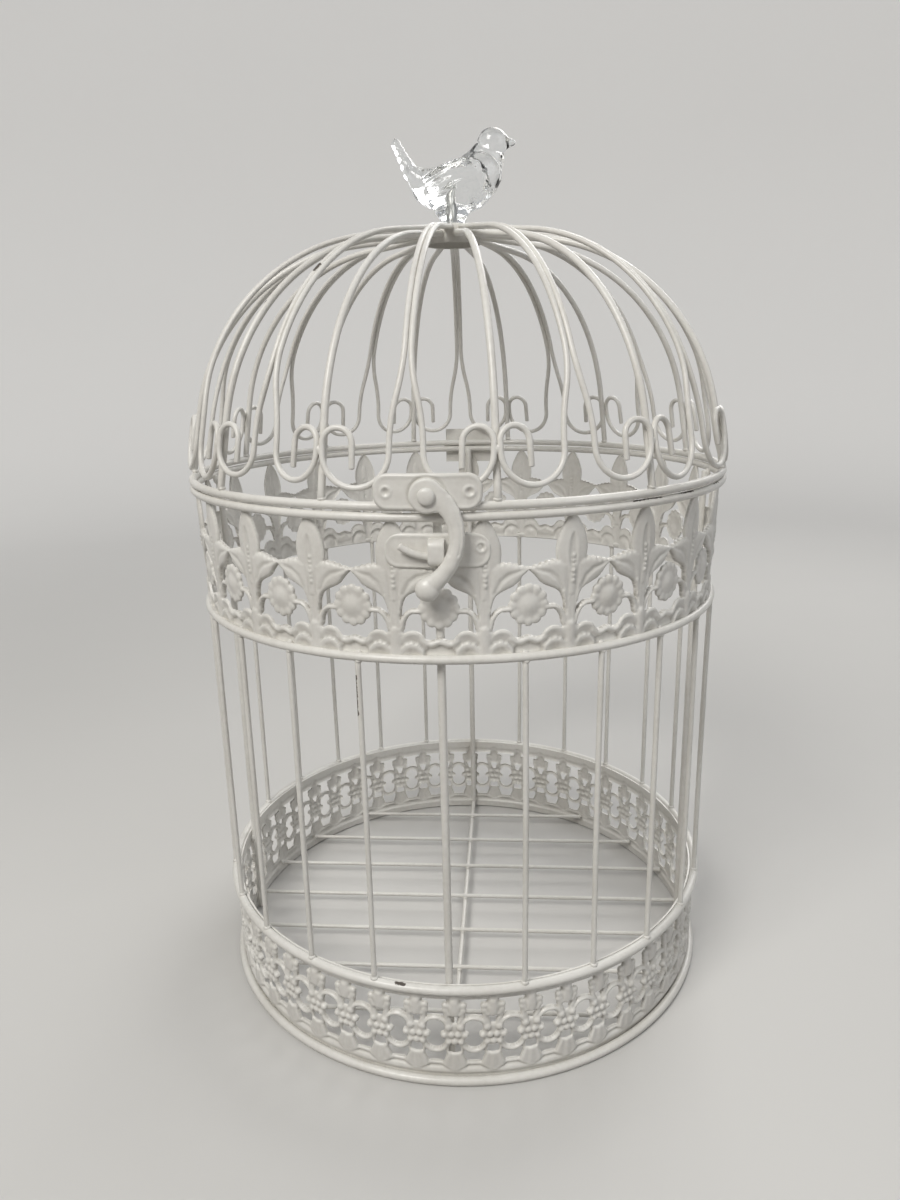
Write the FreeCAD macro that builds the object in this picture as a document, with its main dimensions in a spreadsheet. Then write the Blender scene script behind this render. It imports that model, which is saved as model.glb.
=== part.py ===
import FreeCAD, Part
import math
import os
import re

import Sketcher
from FreeCAD import Placement, Rotation, Vector

# Birdcage card holder of painted wire: a round cage with two pierced strips, a domed lid on a
# hinge, a swing hook at the front and a clear bird on the crown. Millimetres, +Z up, front at -Y.
# An azimuth counts from the front, towards +X.

DIMENSIONS = (
    # Rings and their heights
    ("ring_radius", 123.2, "centre line of the foot, second and middle rings"),
    ("base_wire", 4.0, "wire of the foot ring and the second ring"),
    ("ring_sides", 8, "sides of the rings' wire"),
    ("second_height", 48.2, "centre of the second ring"),
    ("mid_wire", 3.5, "wire of the middle ring"),
    ("mid_height", 194.6, "centre of the middle ring"),
    ("rim_wire", 3.4, "wire of the rim ring and the lid ring"),
    ("rim_flare", 2.2, "rim ring and lid ring, wider than the rings below"),
    ("rim_height", 249.0, "centre of the rim ring"),
    ("lid_gap", 0.4, "between the rim ring and the lid ring"),
    ("weld_gap", 0.1, "between pieces that are welded together"),
    # Posts, uprights and floor
    ("post_wire", 3.3, "wire of the four main posts"),
    ("post_bend", 60.0, "radius of the bend where a post starts to lean out"),
    ("upright_wire", 2.4, "wire of the thin uprights"),
    ("uprights_per_quarter", 5, "thin uprights between two main posts"),
    ("floor_wire", 2.0, "cross wires of the floor"),
    ("floor_height", 7.5, "centre of the cross wires"),
    ("floor_share", 0.246, "spacing of the cross wires, as a share of the rings' radius"),
    ("floor_shift", 3.5, "cross wire in the middle, behind the axis"),
    ("spine_wire", 2.2, "wire under the cross wires"),
    # Pierced strips
    ("band_sheet", 0.8, "sheet of both strips"),
    ("seam_gap", 0.2, "joint between two lengths of a strip"),
    ("lattice_count", 46, "rosettes round the lattice strip"),
    ("lattice_turn", 0.94, "azimuth of the first rosette"),
    ("lattice_border", 9.8, "height of the plain lower border"),
    ("lattice_top_border", 7.3, "height of the plain upper border"),
    ("foot_row", 14.5, "top of the bell feet, above the strip's lower edge"),
    ("foot_half_width", 4.9, "bell foot, half its width at the hem"),
    ("foot_neck", 3.1, "bell foot, half its width at the top"),
    ("moon_height", 3.0, "half moon opening over a foot"),
    ("moon_half_width", 2.7, "half moon opening, half its width"),
    ("rosette_row", 23.8, "centre of the rosettes, above the strip's lower edge"),
    ("rosette_half_width", 5.3, "rosette, half its width"),
    ("lobe_bulge", 1.5, "how far the oval openings swell past a rosette"),
    ("lobe_rise", 2.6, "centre of an oval opening's lobes, above and below the rosettes"),
    ("oval_wall", 2.1, "wall of the oval links"),
    ("heart_height", 4.2, "heart opening over a rosette"),
    ("heart_half_width", 2.1, "heart opening, half its width"),
    ("blossom_half_width", 4.6, "hanging blossom, half its width"),
    ("blossom_stem", 2.7, "hanging blossom, half the width of its stem"),
    ("gallery_count", 23, "leaves round the gallery strip"),
    ("gallery_border", 10.5, "height of the plain lower border"),
    ("leaf_half_width", 6.0, "tall leaf, half its width"),
    ("leaf_waist", 3.8, "tall leaf, half its width at its foot"),
    ("leaf_foot", 35.4, "foot of the tall leaf, above the strip's lower edge"),
    ("arch_apex", 33.6, "point of the arch under the side leaves"),
    ("arch_shoulder", 29.0, "shoulder of that arch"),
    ("arch_shoulder_half", 3.7, "half the width between the shoulders"),
    ("stem_half_width", 2.4, "stem of a leaf, half its width"),
    ("flower_row", 20.1, "centre of the flowers, above the strip's lower edge"),
    ("flower_radius", 6.9, "flower in an arch"),
    ("arm_wall", 1.9, "arms that hold a flower"),
    # Dome
    ("dome_rise", 104.9, "ends of the single ribs at the crown, above the lid ring"),
    ("roof_tilt", 7.0, "slope of the ribs at the crown"),
    ("foot_tilt", 10.5, "lean of the ribs at the lid ring"),
    ("shoulder_radius", 90.0, "bend of the ribs"),
    ("rib_sides", 6, "sides of the ribs' wire, kept few because the ribs repeat"),
    ("rib_wire", 2.9, "wire of a single rib"),
    ("scroll_wire", 2.3, "wire of a scroll rib"),
    ("split_rise", 57.0, "where a pair parts, above the lid ring"),
    ("scroll_throat", 6.2, "scroll wire from the middle of its pair, where its bow starts"),
    ("bow_clear", 0.1, "least gap between the widest bow and the lid ring"),
    ("curl_rise", 3.5, "straight run between bow and curl"),
    ("curl_radius", 5.6, "curl at the end of a scroll wire"),
    ("curl_drop", 9.4, "straight end of the curl"),
    ("cap_radius", 13.0, "crown cap"),
    ("cap_rise", 0.4, "top of the crown cap, above the scroll ribs"),
    ("cap_depth", 8.2, "crown cap, with its skirt"),
    ("cap_sheet", 0.8, "sheet of the crown cap"),
    # Bird
    ("screw_radius", 2.0, "screw that holds the bird"),
    ("screw_clear", 0.1, "round the screw"),
    ("screw_head_radius", 4.2, "head of the screw"),
    ("screw_head", 2.4, "height of the screw's head"),
    ("screw_reach", 19.5, "screw above the crown cap"),
    ("perch_radius", 4.6, "foot of the bird"),
    ("perch_height", 7.0, "foot of the bird, up into its belly"),
    ("bird_sides", 14, "facets round the bird"),
    ("bird_belly", 5.5, "underside of the bird, above the crown cap"),
    # Latch
    ("latch_turn", -1.25, "azimuth of the latch on the lid"),
    ("plate_sheet", 1.0, "latch plate and keeper plate"),
    ("plate_width", 39.2, "both plates, along the curve"),
    ("plate_height", 13.0, "both plates"),
    ("plate_corner", 5.5, "rounded corners of the plates"),
    ("latch_drop", 0.9, "lower edge of the latch plate, under the lid ring's centre"),
    ("pivot_rise", 4.4, "pivot above the lid ring's centre"),
    ("pivot_radius", 1.6, "shank of the pivot rivet"),
    ("pivot_clear", 0.08, "round the shank"),
    ("pivot_head_radius", 3.1, "head of the pivot rivet"),
    ("pivot_head", 1.2, "height of that head"),
    ("hook_gap", 0.35, "between the latch plate, the hook and the rivet's head"),
    ("hook_sheet", 2.2, "thickness of the hook"),
    ("eye_radius", 6.2, "eye of the hook"),
    ("arm_width", 6.0, "arm of the hook at its widest"),
    ("hook_clear", 1.2, "between the arm and the strap"),
    ("ball_radius", 4.1, "ball end of the hook"),
    ("ball_set", 0.9, "ball's centre, behind the middle of the hook"),
    ("ball_drop", 3.0, "top of the ball, under the arm's end"),
    ("keeper_drop", 20.6, "middle of the keeper plate, under the pivot"),
    ("strap_width", 6.0, "strap on the keeper plate"),
    ("strap_height", 9.6, "strap, from its upper to its lower foot"),
    ("strap_sheet", 1.2, "sheet of the strap"),
    ("strap_catch", 1.6, "how far the strap stands past the back of the hook"),
    ("pin_wire", 2.8, "loose pin in the strap"),
    ("pin_bend", 12.0, "bend of the loose pin"),
    ("pin_reach", 11.0, "loose pin, left of the strap"),
    # Hinge
    ("hinge_width", 29.0, "both leaves"),
    ("hinge_leaf", 10.2, "a leaf, from the axis to its edge"),
    ("leaf_sheet", 1.0, "sheet of a leaf"),
    ("knuckle_radius", 2.2, "outside of the knuckles"),
    ("knuckle_width", 9.8, "knuckle of the lid's leaf"),
    ("knuckle_gap", 0.35, "between neighbouring knuckles"),
    ("hinge_pin_radius", 1.15, "hinge pin"),
    ("hinge_clear", 0.05, "round the hinge pin"),
    ("hinge_pin_head", 1.2, "heads of the hinge pin"),
)

# Azimuths of the single ribs, which are welded by eye. A pair of scroll ribs fills each gap.
RIB_TURNS = (10.1, 39.6, 73.0, 108.5, 139.2, 168.6, 195.9, 222.7, 250.7, 282.5, 314.2, 340.2)

# Stations of the bird: along the bird, underside, back and half width, counted from the screw's
# axis and from the underside of the belly
BIRD_BODY = (
    ("tail_tip", -25.4, 28.4, 32.2, 1.6),
    ("tail", -20.7, 17.2, 25.0, 3.2),
    ("rump", -15.9, 6.0, 20.4, 7.4),
    ("back", -5.7, 0.9, 19.4, 10.6),
    ("belly", 5.3, 0.0, 21.4, 11.4),
    ("chest", 13.8, 2.6, 26.2, 10.2),
    ("breast", 19.9, 8.6, 24.4, 6.6),
    ("breast_front", 22.9, 13.6, 18.2, 2.0),
)
BIRD_HEAD = (
    ("nape", 11.9, 26.4, 30.0, 1.6),
    ("head_back", 13.9, 23.4, 33.4, 4.4),
    ("head_top", 17.5, 21.6, 35.1, 6.0),
    ("brow", 21.7, 22.3, 34.5, 5.4),
    ("face", 24.3, 24.8, 32.2, 3.4),
    ("beak_root", 25.7, 26.6, 30.4, 1.7),
    ("beak_tip", 29.3, 28.1, 28.7, 0.3),
)

DOC = FreeCAD.newDocument("birdcage_card_holder")
SHEET = DOC.addObject("Spreadsheet::Sheet", "Dims")
NODES = []

# Heights and radii that several pieces share, worked out from the driving dimensions
LID_Z = "(rim_height + rim_wire + lid_gap)"
PARTING_Z = "(rim_height + (rim_wire + lid_gap) / 2)"
FOOT_Z = "(base_wire / 2 * cos(180 / ring_sides))"
BAND_OUTER = "(ring_radius - base_wire / 2 - weld_gap)"
BAND_INNER = f"({BAND_OUTER} * cos(180 / lattice_count) - band_sheet)"
LATTICE_FOOT = f"({FOOT_Z} - base_wire / 4)"
LATTICE_TOP = "(second_height + base_wire / 4)"
GALLERY_FOOT = "(mid_height - mid_wire / 4)"
GALLERY_TOP = "(rim_height - rim_wire / 4)"
GALLERY_LOW = "(ring_radius - mid_wire / 2 - weld_gap)"
RIM_RADIUS = "(ring_radius + rim_flare)"
GALLERY_HIGH = f"({RIM_RADIUS} - rim_wire / 2 - weld_gap)"
GALLERY_INNER = f"({GALLERY_LOW} * cos(90 / gallery_count) - band_sheet)"
POST_LOW = f"(min({BAND_INNER}; {GALLERY_INNER}) - weld_gap - post_wire / 2)"
POST_HIGH = f"({POST_LOW} + {GALLERY_HIGH} - {GALLERY_LOW})"
RIM_OUTER = f"({RIM_RADIUS} + rim_wire / 2)"
PLATE_IN = f"({RIM_OUTER} + weld_gap)"
HOOK_BACK = f"({PLATE_IN} + plate_sheet + hook_gap)"
HOOK_FRONT = f"({HOOK_BACK} + hook_sheet)"
PIVOT_Z = f"({LID_Z} + pivot_rise)"
KEEPER_Z = f"({PIVOT_Z} - keeper_drop)"
KEEPER_IN = f"({GALLERY_HIGH} + weld_gap)"
KEEPER_OUT = f"({KEEPER_IN} + plate_sheet)"
STRAP_OUT = f"({HOOK_BACK} + strap_catch)"
HINGE_Y = f"({RIM_OUTER} + weld_gap + knuckle_radius)"
RIB_FOOT_Z = f"({LID_Z} + rim_wire / 2 + weld_gap + rib_wire * sin(foot_tilt) / 2)"
RIB_CROWN_Z = f"({LID_Z} + dome_rise)"
RIB_CROWN = "(cap_radius + weld_gap)"
LAYER = "((rib_wire + scroll_wire) / 2 + weld_gap)"
SCROLL_CROWN_Z = f"({RIB_CROWN_Z} + {LAYER})"
CAP_TOP = f"({SCROLL_CROWN_Z} + scroll_wire / 2 + cap_rise)"
BELLY_Z = f"({CAP_TOP} + bird_belly)"

# Sketch planes that are not a body's own: radius and height at the front, and the front view
MERIDIAN = Rotation(Vector(0, -1, 0), Vector(0, 0, 1), Vector(-1, 0, 0), "ZXY")
FRONT_VIEW = Rotation(Vector(1, 0, 0), Vector(0, 0, 1), Vector(0, -1, 0), "ZXY")
RING_SECTION = Rotation(Vector(1, 0, 0), 90) * Rotation(Vector(0, 0, 1), 22.5)
ALONG_X = Rotation(Vector(0, 1, 0), 90)
ALONG_BACK = Rotation(Vector(1, 0, 0), -90)
ALONG_FRONT = Rotation(Vector(1, 0, 0), 90)


def fill_sheet():
    """Write the driving dimensions and the bird's sizes into the sheet."""
    rows = list(DIMENSIONS)
    for index, azimuth in enumerate(RIB_TURNS, start=1):
        rows.append((f"rib_{index:02d}_turn", azimuth, f"azimuth of single rib {index}"))
    for name, along, low, high, half in BIRD_BODY + BIRD_HEAD:
        rows += [
            (f"{name}_along", along, f"bird, {name}, along the bird"),
            (f"{name}_low", low, f"bird, {name}, underside above the belly"),
            (f"{name}_high", high, f"bird, {name}, back above the belly"),
            (f"{name}_half", half, f"bird, {name}, half width"),
        ]
    for row, (alias, value, note) in enumerate(rows, start=1):
        SHEET.set(f"A{row}", note)
        SHEET.set(f"B{row}", str(value))
        SHEET.setAlias(f"B{row}", alias)
    DOC.recompute()
    return re.compile(r"\b(" + "|".join(alias for alias, _, _ in rows) + r")\b")


ALIASES = fill_sheet()


def bind(item, prop, expression):
    """Tie a property to an expression of the sheet's aliases."""
    item.setExpression(prop, ALIASES.sub(r"Dims.\1", expression))


def size(expression):
    """The number that an expression of the sheet's aliases gives."""
    return float(SHEET.evalExpression(expression))


def count(alias):
    """A whole number from the sheet."""
    return int(round(size(alias)))


def place(item, x="0", y="0", z="0", turn=None):
    """Tie an object's position to expressions, after an optional rotation."""
    if turn is not None:
        item.Placement = Placement(Vector(), turn)
    for axis, expression in (("x", x), ("y", y), ("z", z)):
        bind(item, f"Placement.Base.{axis}", expression)


def node(item, label):
    """Keep an object as a sub-part under its own label."""
    item.Label = label
    NODES.append(item)
    return item


def turned_copy(source, label, azimuth):
    """A linked copy of a sub-part, turned about the cage's axis."""
    copy = DOC.addObject("App::Link", label)
    copy.LinkedObject = source
    copy.Placement = Placement(Vector(), Rotation(Vector(0, 0, 1), azimuth))
    return node(copy, label)


# Solids made of primitives


def cylinder(name, radius, height, x="0", y="0", z="0", turn=None):
    """A cylinder whose sizes and place are expressions."""
    rod = DOC.addObject("Part::Cylinder", name)
    bind(rod, "Radius", radius)
    bind(rod, "Height", height)
    place(rod, x, y, z, turn)
    return rod


def ring(name, radius, wire, height):
    """A ring of wire about the cage's axis, with a flat below and above."""
    section = DOC.addObject("Part::RegularPolygon", f"{name}_section")
    bind(section, "Polygon", "ring_sides")
    bind(section, "Circumradius", f"{wire} / 2")
    place(section, x=radius, z=height, turn=RING_SECTION)
    hoop = DOC.addObject("Part::Revolution", name)
    hoop.Source = section
    hoop.Axis = Vector(0, 0, 1)
    hoop.Angle = 360
    hoop.Solid = True
    return hoop


def boolean(kind, name, base, tool):
    """A cut or fuse of two objects."""
    result = DOC.addObject(kind, name)
    result.Base = base
    result.Tool = tool
    return result


def fused(name, items):
    """One solid of several primitives."""
    result = DOC.addObject("Part::MultiFuse", name)
    result.Shapes = items
    result.Refine = True
    return result


# Sketches whose corners are bound to the sheet


def pin_point(sketch, geometry, position, x, y):
    """Bind a sketch point's two coordinates to expressions."""
    for kind, expression in (("DistanceX", x), ("DistanceY", y)):
        index = sketch.addConstraint(
            Sketcher.Constraint(kind, geometry, position, size(expression)))
        bind(sketch, f"Constraints[{index}]", expression)


def add_arc(sketch, start, via, end):
    """Add an arc, and return it with the numbers of the points where it starts and ends."""
    if (via - start).cross(end - via).z > 0:
        return sketch.addGeometry(Part.Arc(start, via, end)), 1, 2
    return sketch.addGeometry(Part.Arc(end, via, start)), 2, 1


def draw_outline(sketch, corners):
    """Draw a closed outline. A corner is (x, y), or (x, y, via x, via y) when an arc leads to it."""
    points = [Vector(size(corner[0]), size(corner[1]), 0) for corner in corners]
    edges = []
    for index, corner in enumerate(corners):
        start, end = points[index - 1], points[index]
        if len(corner) == 2:
            edges.append((sketch.addGeometry(Part.LineSegment(start, end)), 1, 2))
        else:
            via = Vector(size(corner[2]), size(corner[3]), 0)
            edges.append(add_arc(sketch, start, via, end))
            mark = sketch.addGeometry(Part.Point(via), True)
            pin_point(sketch, mark, 1, corner[2], corner[3])
            sketch.addConstraint(Sketcher.Constraint("PointOnObject", mark, 1, edges[-1][0]))
        pin_point(sketch, edges[-1][0], edges[-1][2], corner[0], corner[1])
    for index, (edge, _, finish) in enumerate(edges):
        following, start, _ = edges[(index + 1) % len(edges)]
        sketch.addConstraint(Sketcher.Constraint("Coincident", edge, finish, following, start))


def draw_circle(sketch, radius, x="0", y="0"):
    """Draw a circle with a bound centre and radius."""
    circle = Part.Circle(Vector(size(x), size(y), 0), Vector(0, 0, 1), size(radius))
    edge = sketch.addGeometry(circle)
    pin_point(sketch, edge, 3, x, y)
    index = sketch.addConstraint(Sketcher.Constraint("Radius", edge, size(radius)))
    bind(sketch, f"Constraints[{index}]", radius)


def body_sketch(body, name, role, offset="0"):
    """An empty sketch on one of a body's own origin planes, at an offset along its normal."""
    plane = next(item for item in body.Origin.OriginFeatures if item.Role == role)
    sketch = body.newObject("Sketcher::SketchObject", name)
    sketch.AttachmentSupport = [(plane, "")]
    sketch.MapMode = "FlatFace"
    bind(sketch, "AttachmentOffset.Base.z", offset)
    return sketch


def new_body(name):
    """An empty body."""
    return DOC.addObject("PartDesign::Body", name)


def pad(body, sketch, length):
    """Extrude a sketch along its normal."""
    feature = body.newObject("PartDesign::Pad", f"{sketch.Name}_pad")
    feature.Profile = sketch
    bind(feature, "Length", length)
    sketch.Visibility = False
    DOC.recompute()
    return feature


def pocket(body, sketch, length, back=False):
    """Cut a sketch into a body and make sure that something was cut."""
    before = body.Shape.Volume
    feature = body.newObject("PartDesign::Pocket", f"{sketch.Name}_pocket")
    feature.Profile = sketch
    feature.Reversed = back
    bind(feature, "Length", length)
    DOC.recompute()
    if body.Shape.Volume > before - 1e-6:
        raise RuntimeError(f"{sketch.Name} cuts nothing")
    return feature


def round_edges(body, base, edges, radius):
    """Round the edges of a body's last feature that a test picks."""
    names = [f"Edge{i}" for i, edge in enumerate(base.Shape.Edges, start=1) if edges(edge)]
    feature = body.newObject("PartDesign::Fillet", f"{base.Name}_round")
    feature.Base = (base, names)
    bind(feature, "Radius", radius)
    DOC.recompute()
    return feature


# Bent wire: a straight run, one bend and a second straight run


class Bend:
    """Line, arc and line through two end points with given directions, in one plane."""

    def __init__(self, start, start_angle, end, end_angle, radius):
        self.start = Vector(start[0], start[1], 0)
        self.end = Vector(end[0], end[1], 0)
        self.first = Vector(math.cos(start_angle), math.sin(start_angle), 0)
        self.last = Vector(math.cos(end_angle), math.sin(end_angle), 0)
        self.radius = radius
        across = self.end - self.start
        turn = self.first.cross(self.last).z
        corner = self.start + self.first * (across.cross(self.last).z / turn)
        reach = radius * math.tan(abs(end_angle - start_angle) / 2)
        self.leave = corner - self.first * reach
        self.join = corner + self.last * reach
        side = math.copysign(1.0, turn)
        self.centre = self.leave + Vector(-self.first.y, self.first.x, 0) * (radius * side)

    def on_arc(self, share):
        """Point of the bend between its start and its end."""
        chord = self.leave + (self.join - self.leave) * share
        away = chord - self.centre
        return self.centre + away * (self.radius / away.Length)


def bent_path(name, plane, start, start_angle, end, end_angle, radius):
    """Sketch of a bent wire's centre line, with its ends, directions and bend bound to the sheet."""
    numbers = [size(item) for item in start], [size(item) for item in end]
    angles = math.radians(size(start_angle)), math.radians(size(end_angle))
    bend = Bend(numbers[0], angles[0], numbers[1], angles[1], size(radius))
    sketch = DOC.addObject("Sketcher::SketchObject", name)
    sketch.Placement = plane
    first = sketch.addGeometry(Part.LineSegment(bend.start, bend.leave))
    arc, arc_start, arc_end = add_arc(sketch, bend.leave, bend.on_arc(0.5), bend.join)
    last = sketch.addGeometry(Part.LineSegment(bend.join, bend.end))
    sketch.addConstraint(Sketcher.Constraint("Tangent", first, 2, arc, arc_start))
    sketch.addConstraint(Sketcher.Constraint("Tangent", arc, arc_end, last, 1))
    pin_point(sketch, first, 1, *start)
    pin_point(sketch, last, 2, *end)
    for edge, angle, expression in ((first, angles[0], start_angle), (last, angles[1], end_angle)):
        index = sketch.addConstraint(Sketcher.Constraint("Angle", edge, angle))
        bind(sketch, f"Constraints[{index}]", expression)
    index = sketch.addConstraint(Sketcher.Constraint("Radius", arc, bend.radius))
    bind(sketch, f"Constraints[{index}]", radius)
    return sketch


def swept_wire(name, path, wire, sides=None):
    """Wire along the three edges of a bent path, round or with a number of sides."""
    if sides is None:
        section = DOC.addObject("Sketcher::SketchObject", f"{name}_section")
        draw_circle(section, f"{wire} / 2")
    else:
        section = DOC.addObject("Part::RegularPolygon", f"{name}_section")
        section.addExtension("Part::AttachExtensionPython")
        bind(section, "Polygon", sides)
        bind(section, "Circumradius", f"{wire} / 2")
    section.AttachmentSupport = [(path, "Edge1")]
    section.MapMode = "NormalToEdge"
    sweep = DOC.addObject("Part::Sweep", name)
    sweep.Sections = [section]
    sweep.Spine = (path, ["Edge1", "Edge2", "Edge3"])
    sweep.Solid = True
    sweep.Frenet = False
    return sweep


# Cage: rings, posts, uprights and floor


def cage_rings():
    """The four rings of the cage. The foot ring stands on the flat of its wire."""
    node(ring("foot_ring_wire", "ring_radius", "base_wire", FOOT_Z), "base_ring")
    node(ring("second_ring_wire", "ring_radius", "base_wire", "second_height"), "second_ring")
    node(ring("mid_ring_wire", "ring_radius", "mid_wire", "mid_height"), "mid_ring")
    node(ring("rim_ring_wire", RIM_RADIUS, "rim_wire", "rim_height"), "rim_ring")


def main_posts():
    """Four posts inside the strips, which lean out with the gallery strip above the middle ring."""
    lean = f"(90 deg - atan(({POST_HIGH} - {POST_LOW}) / (rim_height - mid_height)))"
    path = bent_path(
        "post_path", Placement(Vector(), MERIDIAN), (POST_LOW, "weld_gap"), "90",
        (POST_HIGH, "rim_height"), lean, "post_bend")
    front = node(swept_wire("post_wire_front", path, "post_wire"), "main_post_front")
    for azimuth, side in ((90, "right"), (180, "back"), (270, "left")):
        turned_copy(front, f"main_post_{side}", azimuth)


def uprights():
    """Thin uprights from the second ring to the middle ring, in four groups between the posts."""
    per_quarter = count("uprights_per_quarter")
    low = "(second_height + base_wire / 2 + weld_gap)"
    high = "(mid_height - mid_wire / 2 - weld_gap)"
    for quarter, side in enumerate(("front_right", "back_right", "back_left", "front_left")):
        rods = []
        for step in range(1, per_quarter + 1):
            azimuth = f"({quarter} * 90 + {step} * 90 / (uprights_per_quarter + 1))"
            rods.append(cylinder(
                f"upright_{side}_{step}", "upright_wire / 2", f"{high} - {low}",
                f"ring_radius * sin({azimuth})", f"-ring_radius * cos({azimuth})", low))
        group = DOC.addObject("Part::Compound", f"uprights_{side}_group")
        group.Links = rods
        node(group, f"uprights_{side}")


def floor_wires():
    """Cross wires between the sides of the lattice strip, and the spine wire under them."""
    wall = f"({BAND_INNER} - weld_gap)"
    for index, step in enumerate(range(-3, 4), start=1):
        along = f"(floor_shift + {step} * floor_share * ring_radius)"
        half = f"sqrt({wall} ^ 2 - (abs({along}) + floor_wire / 2) ^ 2)"
        wire = cylinder(
            f"cross_wire_{index}", "floor_wire / 2", f"2 * {half}",
            f"-{half}", along, "floor_height", ALONG_X)
        node(wire, f"floor_wire_{index}")
    half = f"({POST_LOW} - post_wire / 2 - weld_gap)"
    spine = cylinder(
        "spine_wire_rod", "spine_wire / 2", f"2 * {half}", "0", f"-{half}",
        "floor_height - floor_wire / 2 - weld_gap - spine_wire / 2", ALONG_BACK)
    node(spine, "floor_spine")


# Pierced strips


def opening(corners):
    """Flat face of an opening in the front view. An arc's corner is (x, z, via x, via z)."""
    edges = []
    for index, corner in enumerate(corners):
        start = Vector(corners[index - 1][0], 0, corners[index - 1][1])
        end = Vector(corner[0], 0, corner[1])
        if len(corner) == 2:
            edges.append(Part.LineSegment(start, end).toShape())
        else:
            edges.append(Part.Arc(start, Vector(corner[2], 0, corner[3]), end).toShape())
    return Part.Face(Part.Wire(edges))


def lattice_openings(pitch, foot, top):
    """Openings of one lattice repeat: the middle of a rosette is at 0, the next at one pitch."""
    middle = pitch / 2
    border = foot + size("lattice_border")
    hem = size("foot_half_width")
    neck = size("foot_neck")
    foot_top = foot + size("foot_row")
    row = foot + size("rosette_row")
    waist = middle - size("rosette_half_width")
    lobe = waist + size("lobe_bulge")
    rise = size("lobe_rise")
    wall = size("oval_wall")
    tuck = rise * 0.6
    swell = math.sqrt(lobe ** 2 - (rise - tuck) ** 2)
    oval = opening((
        (middle - swell, row + tuck, middle - waist, row),
        (middle + swell, row + tuck, middle, row + rise + lobe),
        (middle + swell, row - tuck, middle + waist, row),
        (middle - swell, row - tuck, middle, row - rise - lobe)))
    low_crest = row - rise - lobe - wall
    high_crest = row + rise + lobe + wall
    gap = opening((
        (middle - hem + neck / 2, border),
        (middle + hem - neck / 2, border),
        (middle * 2 - neck, foot_top - wall / 4),
        (neck, foot_top - wall / 4, middle, min(low_crest, foot_top - wall / 2))))
    moon_foot = foot_top + wall / 3
    moon_half = size("moon_half_width")
    moon = opening((
        (-moon_half, moon_foot),
        (moon_half, moon_foot, 0, moon_foot + size("moon_height"))))
    heart_half = size("heart_half_width")
    heart_foot = row + rise + wall / 2
    heart_top = heart_foot + size("heart_height")
    heart = opening((
        (0, heart_foot),
        (heart_half, heart_top - wall / 4),
        (-heart_half, heart_top - wall / 4, 0, heart_top + wall / 8)))
    stem = size("blossom_stem")
    bloom = size("blossom_half_width")
    slot_top = top - size("lattice_top_border")
    slot_low = high_crest + wall / 4
    bloom_z = (slot_top + slot_low) / 2
    neck_z = slot_top - (slot_top - slot_low) / 3
    tip = (stem + bloom) / 2
    slot = opening((
        (pitch - stem, slot_top),
        (pitch - stem, neck_z),
        (pitch - tip, slot_low, pitch - bloom, bloom_z),
        (tip, slot_low, middle, high_crest),
        (stem, neck_z, bloom, bloom_z),
        (stem, slot_top)))
    return [oval, gap, moon, heart, slot]


def gallery_openings(pitch, foot, top):
    """Openings of one gallery repeat: the middle of a leaf is at 0, the next at one pitch."""
    middle = pitch / 2
    border = foot + size("gallery_border")
    stem = size("stem_half_width")
    leaf = size("leaf_half_width")
    waist = size("leaf_waist")
    leaf_foot = foot + size("leaf_foot")
    tip = size("seam_gap")
    above = top + size("band_sheet")
    sky = opening((
        (tip, above),
        (tip, top),
        (waist, leaf_foot, leaf, leaf_foot + (top - leaf_foot) * 0.4),
        (pitch - waist, leaf_foot, middle, leaf_foot + size("arm_wall") / 2),
        (pitch - tip, top, pitch - leaf, leaf_foot + (top - leaf_foot) * 0.4),
        (pitch - tip, above)))
    flower = size("flower_radius")
    flower_z = foot + size("flower_row")
    wall = size("arm_wall")
    reach = math.sqrt(flower ** 2 - wall ** 2 / 4)
    arm = (middle - flower + stem) / 2
    shoulder = size("arch_shoulder_half")
    shoulder_z = foot + size("arch_shoulder")
    apex = foot + size("arch_apex")
    arm_foot = flower_z - wall * 1.5
    spring = flower_z + wall * 2.4
    arch = opening((
        (stem, flower_z),
        (middle - shoulder, shoulder_z, stem + wall, spring),
        (middle, apex),
        (middle + shoulder, shoulder_z),
        (pitch - stem, flower_z, pitch - stem - wall, spring),
        (pitch - stem, arm_foot + wall / 2),
        (middle + reach, flower_z + wall / 2, pitch - arm, flower_z),
        (middle - reach, flower_z + wall / 2, middle, flower_z + flower),
        (stem, arm_foot + wall / 2, arm, flower_z)))
    window = opening((
        (stem, border),
        (pitch - stem, border),
        (pitch - stem, arm_foot - wall / 2),
        (middle + reach, flower_z - wall / 2, pitch - arm, flower_z - wall),
        (middle - reach, flower_z - wall / 2, middle, flower_z - flower),
        (stem, arm_foot - wall / 2, arm, flower_z - wall)))
    return [sky, arch, window]


def faceted_drum(low, high, inset, sides, turn):
    """Drum of flat panels between two levels, given as radius and height, set in by a wall."""
    rims = []
    for radius, height in (low, high):
        corner = radius - inset / math.cos(math.pi / sides)
        angles = [math.radians(turn + 360 * index / sides) for index in range(sides + 1)]
        rims.append(Part.makePolygon([
            Vector(corner * math.sin(a), -corner * math.cos(a), height) for a in angles]))
    return Part.makeLoft(rims, True, True)


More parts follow.
